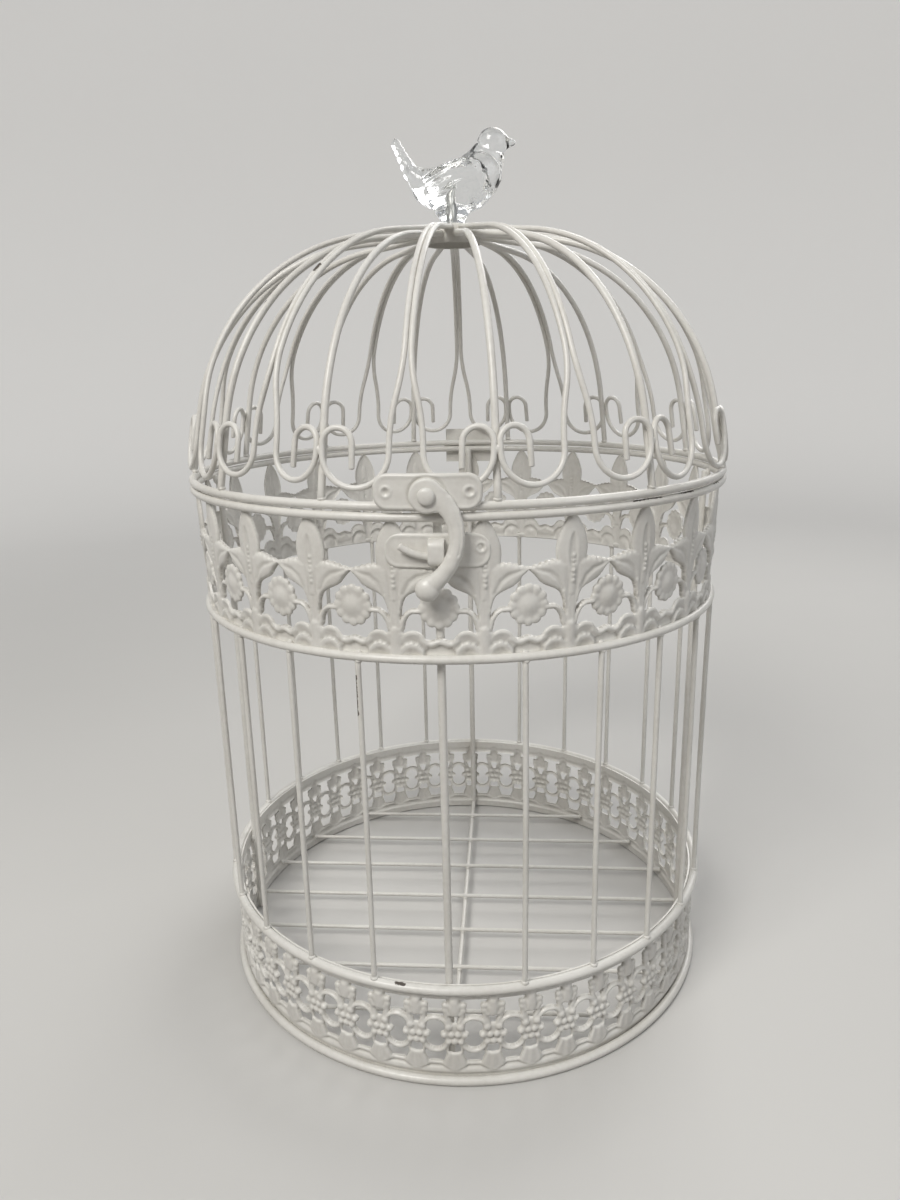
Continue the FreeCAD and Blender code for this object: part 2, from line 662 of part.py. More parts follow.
def pierced_strip(label, low, high, repeats, sides, turn, openings):
    """A strip round the cage in four lengths, pierced by openings that repeat round it.

    low and high are the outer radius and the height at the strip's two edges. The strip is bent
    in flat panels, with an edge at each repeat.
    """
    sheet = size("band_sheet")
    reach = sheet * 4
    wide = max(low[0], high[0]) + reach
    near = min(low[0], high[0]) - sheet - reach
    drum = faceted_drum(low, high, 0, sides, turn)
    drum = drum.cut(faceted_drum(low, high, sheet, sides, turn))
    pitch = 2 * math.pi * (low[0] + high[0]) / 2 / repeats
    step = 360 / repeats
    cutters = []
    for face in openings(pitch, low[1], high[1]):
        middle = face.BoundBox.Center.x
        face.translate(Vector(-middle, -near, 0))
        prism = face.extrude(Vector(0, near - wide, 0))
        for index in range(repeats):
            azimuth = turn + step * (index + middle / pitch)
            cutters.append(prism.rotated(Vector(), Vector(0, 0, 1), azimuth))
    seam = size("seam_gap")
    for long, thick in ((2 * wide, seam), (seam, 2 * wide)):
        corner = Vector(-long / 2, -thick / 2, low[1] - sheet)
        cutters.append(Part.makeBox(long, thick, high[1] - low[1] + 2 * sheet, corner))
    lengths = sorted(drum.cut(cutters).Solids, key=lambda solid: -solid.Volume)[:4]
    strip = DOC.addObject("Part::Feature", f"{label}_strip")
    strip.Shape = Part.makeCompound(lengths)
    node(strip, label)


def strips():
    """The lattice strip at the foot and the gallery strip under the rim."""
    outer = size(BAND_OUTER)
    repeats = count("lattice_count")
    pierced_strip(
        "lattice_band", (outer, size(LATTICE_FOOT)), (outer, size(LATTICE_TOP)),
        repeats, repeats, size("lattice_turn"), lattice_openings)
    repeats = count("gallery_count")
    pierced_strip(
        "gallery_band", (size(GALLERY_LOW), size(GALLERY_FOOT)),
        (size(GALLERY_HIGH), size(GALLERY_TOP)),
        repeats, 2 * repeats, 180 / repeats, gallery_openings)


# Dome


def single_ribs():
    """Plain ribs from the lid ring to the crown cap."""
    path = bent_path(
        "rib_path", Placement(Vector(), MERIDIAN), (RIB_CROWN, RIB_CROWN_Z), "-roof_tilt",
        (RIM_RADIUS, RIB_FOOT_Z), "foot_tilt - 90", "shoulder_radius")
    rib = swept_wire("rib_wire_first", path, "rib_wire", "rib_sides")
    for index in range(1, len(RIB_TURNS) + 1):
        turned_copy(rib, f"single_rib_{index:02d}", size(f"rib_{index:02d}_turn"))


def arc_from(start, direction, end):
    """Arc that leaves a point in a direction and ends at another point."""
    chord = end - start
    along = chord * (1 / chord.Length)
    side = direction - along * direction.dot(along)
    if side.Length < 1e-9:
        return Part.LineSegment(start, end).toShape()
    lean = math.atan2(side.Length, direction.dot(along))
    crest = start + chord * 0.5 + side * (chord.Length / 2 * math.tan(lean / 2) / side.Length)
    return Part.Arc(start, crest, end).toShape()


def two_arcs(start, leaving, end, arriving):
    """Two arcs that join smoothly and keep the directions at both ends."""
    across = end - start
    both = leaving + arriving
    quadratic = 2 * (leaving.dot(arriving) - 1)
    linear = -2 * across.dot(both)
    square = across.dot(across)
    if abs(quadratic) < 1e-9:
        reach = -square / linear
    else:
        root = math.sqrt(linear ** 2 - 4 * quadratic * square)
        reach = (-linear - root) / (2 * quadratic)
    joint = (start + leaving * reach + end - arriving * reach) * 0.5
    there = joint - start
    tangent = there * (2 * there.dot(leaving) / there.dot(there)) - leaving
    return [arc_from(start, leaving, joint), arc_from(joint, tangent, end)]


def bent_bar(edges, wire, sides):
    """Solid wire along lines and arcs that follow each other smoothly."""
    first = edges[0]
    start = first.valueAt(first.FirstParameter)
    along = first.tangentAt(first.FirstParameter)
    across = along.cross(Vector(1, 0, 0)).normalize() * (wire / 2)
    corners = []
    for index in range(sides + 1):
        turn = Rotation(along, 360 * index / sides)
        corners.append(start + turn.multVec(across))
    section = Part.makePolygon(corners)
    faces = [Part.Face(section)]
    for edge in edges:
        curve = edge.Curve
        if isinstance(curve, Part.Line):
            run = edge.valueAt(edge.LastParameter) - edge.valueAt(edge.FirstParameter)
            faces += section.extrude(run).Faces
            section = section.translated(run)
        else:
            angle = math.degrees(edge.LastParameter - edge.FirstParameter)
            faces += section.revolve(curve.Center, curve.Axis, angle).Faces
            section = section.rotated(curve.Center, curve.Axis, angle)
    faces.append(Part.Face(section))
    shell = Part.makeShell(faces)
    shell.sewShape()
    bar = Part.Solid(shell)
    if bar.Volume < 0:
        bar.reverse()
    return bar


def rib_gaps():
    """Azimuth of each single rib, and the angle from there to the next one."""
    turns = [size(f"rib_{index:02d}_turn") for index in range(1, len(RIB_TURNS) + 1)]
    return [(here, (after - here) % 360) for here, after in zip(turns, turns[1:] + turns[:1])]


def bow_height():
    """Where the bows start, so high that the widest one stays clear of the lid ring."""
    widest = max(gap for _, gap in rib_gaps())
    radius = f"(({RIM_RADIUS} * sin({widest} / 2) - scroll_throat) / 2)"
    return size(
        f"{LID_Z} + rim_wire / 2 + bow_clear + scroll_wire / 2 + {radius} * cos(foot_tilt)")


def scroll_wire(side, half_gap):
    """One wire of a pair at the front: over the dome, out into a bow and back in a curl.

    side is -1 or 1, and half_gap the angle from the pair to the single rib on that side.
    """
    lid = size(LID_Z)
    foot_tilt = math.radians(size("foot_tilt"))
    roof_tilt = math.radians(size("roof_tilt"))
    wire = size("scroll_wire")
    foot = size(RIM_RADIUS), size(RIB_FOOT_Z)
    dome = Bend(
        (size(RIB_CROWN), size(SCROLL_CROWN_Z)), -roof_tilt, foot, foot_tilt - math.pi / 2,
        size("shoulder_radius"))

    def spot(across, point):
        """Point of the dome in space, at an offset from the middle of the pair."""
        return Vector(side * across, -point.x, point.y)

    def outline(height):
        """Point and downward direction of the dome's outline at a height."""
        if height < dome.join.y:
            drop = (height - dome.join.y) / dome.last.y
            return dome.join + dome.last * drop, dome.last
        reach = math.sqrt(dome.radius ** 2 - (height - dome.centre.y) ** 2)
        away = Vector(reach, height - dome.centre.y, 0)
        return dome.centre + away, Vector(away.y, -away.x, 0) * (1 / dome.radius)

    beside = (wire + size("weld_gap")) / 2
    split, split_down = outline(lid + size("split_rise"))
    throat, throat_down = outline(bow_height())
    top = spot(beside, dome.start)
    leave = spot(beside, dome.leave)
    parting = spot(beside, split)
    down = spot(0, throat_down)
    bow_start = spot(size("scroll_throat"), throat)
    clear = throat.x + size(LAYER)
    rib_side = Vector(side * math.cos(half_gap), math.sin(half_gap), 0)
    rib_front = Vector(
        side * clear * math.sin(half_gap), -clear * math.cos(half_gap), throat.y)
    across = rib_front - rib_side * beside - bow_start
    across = across - down * across.dot(down)
    bow_end = bow_start + across
    bow_low = bow_start + across * 0.5 + down * (across.Length / 2)
    inward = across * (-1 / across.Length)
    curl = size("curl_radius")
    curl_start = bow_end - down * size("curl_rise")
    curl_top = curl_start + (inward - down) * curl
    curl_end = curl_start + inward * (2 * curl)
    tail = curl_end + down * size("curl_drop")
    shoulder = (outline((split.y + dome.leave.y) / 2))[0]
    edges = [
        Part.LineSegment(top, leave).toShape(),
        Part.Arc(leave, spot(beside, shoulder), parting).toShape(),
        *two_arcs(parting, spot(0, split_down), bow_start, down),
        Part.Arc(bow_start, bow_low, bow_end).toShape(),
        Part.LineSegment(bow_end, curl_start).toShape(),
        Part.Arc(curl_start, curl_top, curl_end).toShape(),
        Part.LineSegment(curl_end, tail).toShape(),
    ]
    return bent_bar(edges, wire, count("rib_sides"))


def scroll_ribs():
    """Pairs of scroll ribs, each midway between two single ribs."""
    for index, (azimuth, gap) in enumerate(rib_gaps()):
        half_gap = math.radians(gap / 2)
        pair = DOC.addObject("Part::Feature", f"scroll_pair_{index + 1:02d}")
        pair.Shape = Part.makeCompound([scroll_wire(-1, half_gap), scroll_wire(1, half_gap)])
        pair.Placement = Placement(Vector(), Rotation(Vector(0, 0, 1), azimuth + gap / 2))
        node(pair, f"scroll_ribs_{index + 1:02d}")


def crown_cap():
    """Cup whose skirt takes the ends of all ribs, with a hole for the bird's screw."""
    body = new_body("crown_cap_body")
    skirt = body_sketch(body, "cap_skirt", "XY_Plane", f"{CAP_TOP} - cap_depth")
    draw_circle(skirt, "cap_radius")
    pad(body, skirt, "cap_depth")
    inside = body_sketch(body, "cap_inside", "XY_Plane", f"{CAP_TOP} - cap_depth")
    draw_circle(inside, "cap_radius - cap_sheet")
    pocket(body, inside, "cap_depth - cap_sheet", back=True)
    hole = body_sketch(body, "cap_hole", "XY_Plane", CAP_TOP)
    draw_circle(hole, "screw_radius + screw_clear")
    pocket(body, hole, "cap_depth")
    node(body, "crown_cap")


def bird_loft(name, stations):
    """Solid through oval stations across the bird."""
    sides = count("bird_sides")
    floor = size(BELLY_Z)
    ovals = []
    for station, *_ in stations:
        half = size(f"{station}_half")
        rise = size(f"({station}_high - {station}_low) / 2")
        middle = Vector(size(f"{station}_along"), 0, floor + size(f"{station}_low") + rise)
        corners = []
        for index in range(sides + 1):
            angle = 2 * math.pi * index / sides
            corners.append(middle + Vector(0, half * math.cos(angle), rise * math.sin(angle)))
        ovals.append(Part.makePolygon(corners))
    solid = DOC.addObject("Part::Feature", name)
    solid.Shape = Part.makeLoft(ovals, True, True)
    return solid


def bird():
    """Cut acrylic bird: lofted body and head, a foot that stands on the cap, and its screw."""
    loft = bird_loft("bird_body", BIRD_BODY)
    head = bird_loft("bird_head", BIRD_HEAD)
    foot = cylinder(
        "bird_foot", "perch_radius", "perch_height", z=f"{CAP_TOP} + weld_gap")
    whole = fused("bird_whole", [loft, head, foot])
    bore = cylinder(
        "bird_bore", "screw_radius + screw_clear", "screw_reach + screw_clear", z=CAP_TOP)
    node(boolean("Part::Cut", "bird_bored", whole, bore), "bird")
    shank = cylinder(
        "screw_shank", "screw_radius", "screw_reach + cap_sheet + weld_gap + screw_head",
        z=f"{CAP_TOP} - cap_sheet - weld_gap - screw_head")
    head = cylinder(
        "screw_top", "screw_head_radius", "screw_head",
        z=f"{CAP_TOP} - cap_sheet - weld_gap - screw_head")
    node(fused("screw_whole", [shank, head]), "bird_screw")


def lid_ring():
    """Ring that carries the dome."""
    node(ring("lid_ring_wire", RIM_RADIUS, "rim_wire", LID_Z), "lid_ring")


# Latch


def curved_plate(body, name, inner, low):
    """Plate bent to the cage, with rounded corners."""
    outer = f"({inner} + plate_sheet)"
    half = f"(plate_width / 2 / {inner} * 180 / pi)"
    sketch = body_sketch(body, name, "XY_Plane", low)
    draw_outline(sketch, (
        (f"-{inner} * sin({half})", f"-{inner} * cos({half})"),
        (f"{inner} * sin({half})", f"-{inner} * cos({half})", "0", f"-{inner}"),
        (f"{outer} * sin({half})", f"-{outer} * cos({half})"),
        (f"-{outer} * sin({half})", f"-{outer} * cos({half})", "0", f"-{outer}")))
    blank = pad(body, sketch, "plate_height")
    thick = size("plate_sheet")

    def corner(edge):
        """Tell the four short edges across the sheet."""
        level = abs(edge.Vertexes[0].Z - edge.Vertexes[-1].Z) < 1e-6
        return level and abs(edge.Length - thick) < 1e-3

    round_edges(body, blank, corner, "plate_corner")


def latch_plate():
    """Plate on the lid ring that carries the hook, and the hook's rivet."""
    turn = Placement(Vector(), Rotation(Vector(0, 0, 1), size("latch_turn")))
    body = new_body("latch_plate_body")
    curved_plate(body, "latch_sheet", PLATE_IN, f"{LID_Z} - latch_drop")
    hole = body_sketch(body, "latch_hole", "XZ_Plane", HOOK_BACK)
    draw_circle(hole, "pivot_radius + pivot_clear", "0", PIVOT_Z)
    pocket(body, hole, "hook_gap + 2 * plate_sheet")
    body.Placement = turn
    node(body, "latch_plate")
    shank = cylinder(
        "rivet_shank", "pivot_radius", f"{HOOK_FRONT} + hook_gap + pivot_head - {PLATE_IN}",
        y=f"-{PLATE_IN}", z=PIVOT_Z, turn=ALONG_FRONT)
    head = DOC.addObject("Part::Cone", "rivet_head")
    bind(head, "Radius1", "pivot_head_radius")
    bind(head, "Radius2", "(pivot_head_radius + pivot_radius) / 2")
    bind(head, "Height", "pivot_head")
    place(head, "0", f"-({HOOK_FRONT} + hook_gap)", PIVOT_Z, ALONG_FRONT)
    rivet = fused("rivet_whole", [shank, head])
    rivet.Placement = turn
    node(rivet, "pivot_rivet")


def hook():
    """Cast hook: an eye on the rivet, an arm round the strap and a ball to push."""
    beside = f"({STRAP_OUT} * sin(-latch_turn) + strap_width / 2 + hook_clear)"
    under = f"({KEEPER_Z} - strap_height / 2 - hook_clear)"
    ball_z = f"({under} - ball_radius - ball_drop)"
    ball_x = "(-hook_clear)"
    bulge_z = f"(({PIVOT_Z} + {under}) / 2)"
    body = new_body("hook_body")
    arm = body_sketch(body, "hook_arm", "XZ_Plane", HOOK_BACK)
    draw_outline(arm, (
        ("eye_radius * cos(20)", f"{PIVOT_Z} + eye_radius * sin(20)"),
        (f"{ball_x} + ball_radius / 2", f"{ball_z} - ball_radius / 2",
         f"{beside} + arm_width", bulge_z),
        (ball_x, f"{ball_z} + ball_radius / 2"),
        (f"{beside} - arm_width / 2", under),
        (beside, f"{under} + arm_width / 2",
         f"{beside} - arm_width * 0.1464", f"{under} + arm_width * 0.1464"),
        (beside, f"{bulge_z} + hook_clear"),
        ("0", f"{PIVOT_Z} - eye_radius * 0.9",
         f"{beside} * 0.78", f"{PIVOT_Z} - eye_radius * 1.25")))
    pad(body, arm, "hook_sheet")
    eye = body_sketch(body, "hook_eye", "XZ_Plane", HOOK_BACK)
    draw_circle(eye, "eye_radius", "0", PIVOT_Z)
    pad(body, eye, "hook_sheet")
    ball = body.newObject("PartDesign::AdditiveSphere", "hook_ball")
    bind(ball, "Radius", "ball_radius")
    seam_at_back = Rotation(Vector(0, 0, 1), 90)
    place(ball, ball_x, f"-({HOOK_BACK} + hook_sheet / 2 - ball_set)", ball_z, seam_at_back)
    DOC.recompute()
    hole = body_sketch(body, "hook_hole", "XZ_Plane", f"{HOOK_FRONT} + hook_gap")
    draw_circle(hole, "pivot_radius + pivot_clear", "0", PIVOT_Z)
    pocket(body, hole, "hook_sheet + 2 * hook_gap")
    body.Placement = Placement(Vector(), Rotation(Vector(0, 0, 1), size("latch_turn")))
    node(body, "hook")


def keeper():
    """Plate on two gallery leaves, with the strap that the hook reaches round and its loose pin."""
    body = new_body("keeper_plate_body")
    curved_plate(body, "keeper_sheet", KEEPER_IN, f"{KEEPER_Z} - plate_height / 2")
    root = f"({KEEPER_IN} + plate_sheet / 2)"
    inside = f"({STRAP_OUT} - strap_sheet)"
    high = f"({KEEPER_Z} + strap_height / 2)"
    low = f"({KEEPER_Z} - strap_height / 2)"
    soft = "(strap_sheet * 0.2929)"
    strap = body_sketch(body, "keeper_strap", "YZ_Plane", "-strap_width / 2")
    draw_outline(strap, (
        (f"-{root}", low),
        (f"-{inside}", low),
        (f"-{STRAP_OUT}", f"{low} + strap_sheet", f"-{STRAP_OUT} + {soft}", f"{low} + {soft}"),
        (f"-{STRAP_OUT}", f"{high} - strap_sheet"),
        (f"-{inside}", high, f"-{STRAP_OUT} + {soft}", f"{high} - {soft}"),
        (f"-{root}", high),
        (f"-{root}", f"{high} - strap_sheet"),
        (f"-{inside}", f"{high} - strap_sheet"),
        (f"-{inside}", f"{low} + strap_sheet"),
        (f"-{root}", f"{low} + strap_sheet")))
    pad(body, strap, "strap_width")
    node(body, "keeper_plate")
    lie = size(f"-({KEEPER_OUT} + weld_gap + pin_wire / 2)")
    path = bent_path(
        "keeper_pin_path", Placement(Vector(0, lie, 0), FRONT_VIEW),
        ("-strap_width / 2 - pin_reach", f"{KEEPER_Z} + pin_wire * 0.8"), "-24",
        ("strap_width / 2 - weld_gap", f"{KEEPER_Z} - pin_wire * 0.6"), "-8", "pin_bend")
    node(swept_wire("keeper_pin_wire", path, "pin_wire"), "keeper_pin")


# Hinge


def hinge_leaf(label, edge, side, knuckles):
    """A leaf with its knuckles. side is 1 for the leaf above the axis and -1 for the one below."""
    body = new_body(f"{label}_body")
    back = f"({RIM_OUTER} + weld_gap)"
    notch = f"({PARTING_Z} + {side} * (knuckle_radius + knuckle_gap))"
    half = "(hinge_width / 2)"
    inner = "(knuckle_width / 2)" if side > 0 else "(knuckle_width / 2 + knuckle_gap)"
    middle, outside = (PARTING_Z, notch) if side > 0 else (notch, PARTING_Z)
    plate = body_sketch(body, f"{label}_sheet", "XZ_Plane", f"-({back} + leaf_sheet)")
    draw_outline(plate, (
        (f"-{half}", edge), (half, edge), (half, outside), (inner, outside), (inner, middle),
        (f"-{inner}", middle), (f"-{inner}", outside), (f"-{half}", outside)))
    pad(body, plate, "leaf_sheet")
    for index, (low, length) in enumerate(knuckles):
        barrel = body_sketch(body, f"{label}_knuckle_{index}", "YZ_Plane", low)
        draw_circle(barrel, "knuckle_radius", HINGE_Y, PARTING_Z)
        pad(body, barrel, length)
    bore = body_sketch(body, f"{label}_bore", "YZ_Plane", half)
    draw_circle(bore, "hinge_pin_radius + hinge_clear", HINGE_Y, PARTING_Z)
    pocket(body, bore, "hinge_width")
    node(body, label)


def hinge():
    """Butt hinge behind the rings: a leaf on the cage, a leaf on the lid and the pin."""
    length = "(hinge_width / 2 - knuckle_width / 2 - knuckle_gap)"
    hinge_leaf("hinge_cage_leaf", f"{PARTING_Z} - hinge_leaf", -1, (
        ("-hinge_width / 2", length),
        ("knuckle_width / 2 + knuckle_gap", length)))
    hinge_leaf("hinge_lid_leaf", f"{PARTING_Z} + hinge_leaf", 1, (
        ("-knuckle_width / 2", "knuckle_width"),))
    reach = "(hinge_width / 2 + weld_gap)"
    shank = cylinder(
        "hinge_pin_shank", "hinge_pin_radius", f"2 * {reach}",
        f"-{reach}", HINGE_Y, PARTING_Z, ALONG_X)
    heads = [
        cylinder(
            f"hinge_pin_head_{index}", "(hinge_pin_radius + knuckle_radius) / 2",
            "hinge_pin_head", x, HINGE_Y, PARTING_Z, ALONG_X)
        for index, x in enumerate((f"-{reach} - hinge_pin_head", reach))]
    node(fused("hinge_pin_whole", [shank, *heads]), "hinge_pin")


def check():
    """Stop if an object failed or a sub-part has no sound shape."""
    for item in DOC.Objects:
        if "Invalid" in item.State or "Error" in item.State:
            raise RuntimeError(f"{item.Label} failed: {item.State}")
    for item in NODES:
        shape = Part.getShape(item)
        if shape.isNull() or not shape.isValid() or not shape.Solids:
            raise RuntimeError(f"{item.Label} has no sound solid")


def write():
    """Write each sub-part to its own file."""
    os.makedirs("parts", exist_ok=True)
    for item in NODES:
        Part.getShape(item).exportStep(f"parts/{item.Label}.step")


def main():
    """Build, check and write the whole part."""
    cage_rings()
    strips()
    main_posts()
    uprights()
    floor_wires()
    lid_ring()
    single_ribs()
    scroll_ribs()
    crown_cap()
    bird()
    latch_plate()
    hook()
    keeper()
    hinge()
    DOC.recompute()
    check()
    write()


main()
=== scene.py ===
"""Looks of the birdcage card holder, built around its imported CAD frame.

Sizes in the classes are millimetres, as in the CAD source, and meshes are in metres. The front is
at -Y and an azimuth counts from the front, towards +X.
"""
import logging
import math
from dataclasses import dataclass, field
from enum import Enum
from typing import Callable, Iterable, Mapping, Optional, Sequence, Union

import bpy
import numpy as np
from mathutils import Matrix, Vector


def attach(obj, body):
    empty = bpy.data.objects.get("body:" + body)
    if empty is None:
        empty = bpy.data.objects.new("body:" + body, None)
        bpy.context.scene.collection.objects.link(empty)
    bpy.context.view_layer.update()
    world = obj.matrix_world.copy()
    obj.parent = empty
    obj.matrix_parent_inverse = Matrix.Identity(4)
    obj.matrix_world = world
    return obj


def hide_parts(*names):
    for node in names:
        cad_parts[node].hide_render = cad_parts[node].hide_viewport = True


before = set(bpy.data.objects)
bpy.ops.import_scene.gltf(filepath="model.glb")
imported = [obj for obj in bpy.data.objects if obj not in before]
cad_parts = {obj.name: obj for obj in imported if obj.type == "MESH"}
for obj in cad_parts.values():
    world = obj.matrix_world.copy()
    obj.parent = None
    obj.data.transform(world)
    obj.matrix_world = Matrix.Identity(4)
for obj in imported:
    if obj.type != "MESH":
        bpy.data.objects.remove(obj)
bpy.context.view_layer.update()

LOG = logging.getLogger("birdcage")
MM = 0.001
Array = np.ndarray
Faces = list[tuple[int, ...]]


class Body(Enum):
    """Bodies of the CAD frame that pieces ride on."""

    CAGE = "cage"
    LID = "lid"
    HOOK = "hook"


class Slot(Enum):
    """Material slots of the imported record."""

    PAINT = "white_paint"
    ACRYLIC = "acrylic"
    STEEL = "screw_steel"


# Shader maths


class Value:
    """An output of a shader node that takes part in sums written as Python operators."""

    def __init__(self, shader: "Shader", socket: bpy.types.NodeSocket) -> None:
        """Hold a socket of a shader."""
        self.shader = shader
        self.socket = socket

    def math(self, operation: str, *terms: "Term") -> "Value":
        """Add a Math node with some inputs, in order."""
        return self.shader.node("ShaderNodeMath", {"operation": operation}, dict(enumerate(terms)))

    def __add__(self, other: "Term") -> "Value":
        """Sum with a value or number."""
        return self.math("ADD", self, other)

    __radd__ = __add__

    def __sub__(self, other: "Term") -> "Value":
        """Difference from a value or number."""
        return self.math("SUBTRACT", self, other)

    def __mul__(self, other: "Term") -> "Value":
        """Product with a value or number."""
        return self.math("MULTIPLY", self, other)

    def most(self, other: "Term") -> "Value":
        """Larger of two values."""
        return self.math("MAXIMUM", self, other)

    def ramp(self, low: float, high: float) -> "Value":
        """Smooth rise from 0 at low to 1 at high, or a fall where high is less than low."""
        settings = {"interpolation_type": "SMOOTHSTEP"}
        return self.shader.node(
            "ShaderNodeMapRange", settings, {0: self, 1: low, 2: high, 3: 0.0, 4: 1.0})


Term = Union[Value, float]


class Shader:
    """Node tree of one material."""

    def __init__(self, name: str) -> None:
        """Start a material with its surface shader."""
        self.material = bpy.data.materials.new(name)
        self.material.use_nodes = True
        self.tree = self.material.node_tree
        self.surface = self.tree.nodes["Principled BSDF"]

    def node(
            self, kind: str, settings: Optional[Mapping[str, object]] = None,
            inputs: Optional[Mapping[Union[str, int], object]] = None, output: int = 0) -> Value:
        """Make any node.

        Args:
            kind: the node's type.
            settings: its properties, which are set first.
            inputs: values or links of its sockets, by name or number.
            output: number of the socket to return.

        Returns:
            The chosen output.
        """
        made = self.tree.nodes.new(kind)
        for key, setting in (settings or {}).items():
            setattr(made, key, setting)
        for key, term in (inputs or {}).items():
            self.feed(made.inputs[key], term)
        return Value(self, made.outputs[output])

    def feed(self, socket: bpy.types.NodeSocket, term: object) -> None:
        """Link a value to a socket, or set its number."""
        if isinstance(term, Value):
            self.tree.links.new(term.socket, socket)
        else:
            socket.default_value = term

    def set(self, **sockets: object) -> None:
        """Feed sockets of the surface shader, with spaces written as underscores."""
        for name, term in sockets.items():
            self.feed(self.surface.inputs[name.replace("_", " ")], term)

    def spot(self) -> Value:
        """Place on the piece at rest."""
        return self.node("ShaderNodeTexCoord", output=3)

    def noise(self, spot: Value, scale: float, detail: float = 2.0, output: int = 0) -> Value:
        """Soft noise from 0 to 1.

        Args:
            spot: where it is read.
            scale: waves in a metre.
            detail: finer layers on top.
            output: 0 for a number, 1 for a vector.

        Returns:
            The noise.
        """
        inputs = {"Vector": spot, "Scale": scale, "Detail": detail}
        return self.node("ShaderNodeTexNoise", {}, inputs, output)

    def attribute(self, name: str) -> Value:
        """Number that a mesh keeps at its points, 0 where it has none."""
        return self.node("ShaderNodeAttribute", {"attribute_name": name}, output=2)

    def blend(self, share: Term, low: object, high: object) -> Value:
        """Colour between two colours."""
        return self.node(
            "ShaderNodeMix", {"data_type": "RGBA"}, {0: share, 6: low, 7: high}, output=2)

    def vector(
            self, operation: str, *terms: object, scale: Optional[Term] = None,
            output: int = 0) -> Value:
        """Add a Vector Math node.

        Args:
            operation: the node's operation.
            terms: its vectors, in order.
            scale: the number that a SCALE takes.
            output: 0 for a vector, 1 for a number.

        Returns:
            The node's result.
        """
        inputs = dict(enumerate(terms))
        if scale is not None:
            inputs["Scale"] = scale
        return self.node("ShaderNodeVectorMath", {"operation": operation}, inputs, output)

    def bump(self, height: Value, strength: float, depth: float) -> Value:
        """Normal of a fine relief.

        Args:
            height: the relief, from 0 to 1.
            strength: how much of it shows.
            depth: its depth in metres.

        Returns:
            The normal.
        """
        return self.node(
            "ShaderNodeBump", {}, {"Strength": strength, "Distance": depth, "Height": height})


Colour = tuple[float, float, float, float]


class Finish:
    """Base of all finishes: a material, made once, and the record's slot that it belongs to."""

    slot: Slot
    name: str

    def build(self) -> bpy.types.Material:
        """Make the material."""
        raise NotImplementedError

    def material(self) -> bpy.types.Material:
        """The finish's material, made on first use."""
        return bpy.data.materials.get(self.name) or self.build()

    def dress(self, piece: bpy.types.Object) -> None:
        """Give a piece this finish."""
        piece.data.materials.clear()
        piece.data.materials.append(self.material())


@dataclass(frozen=True)
class Scratch:
    """A short line where the paint is knocked off, in millimetres."""

    start: tuple[float, float, float]
    end: tuple[float, float, float]
    radius: float


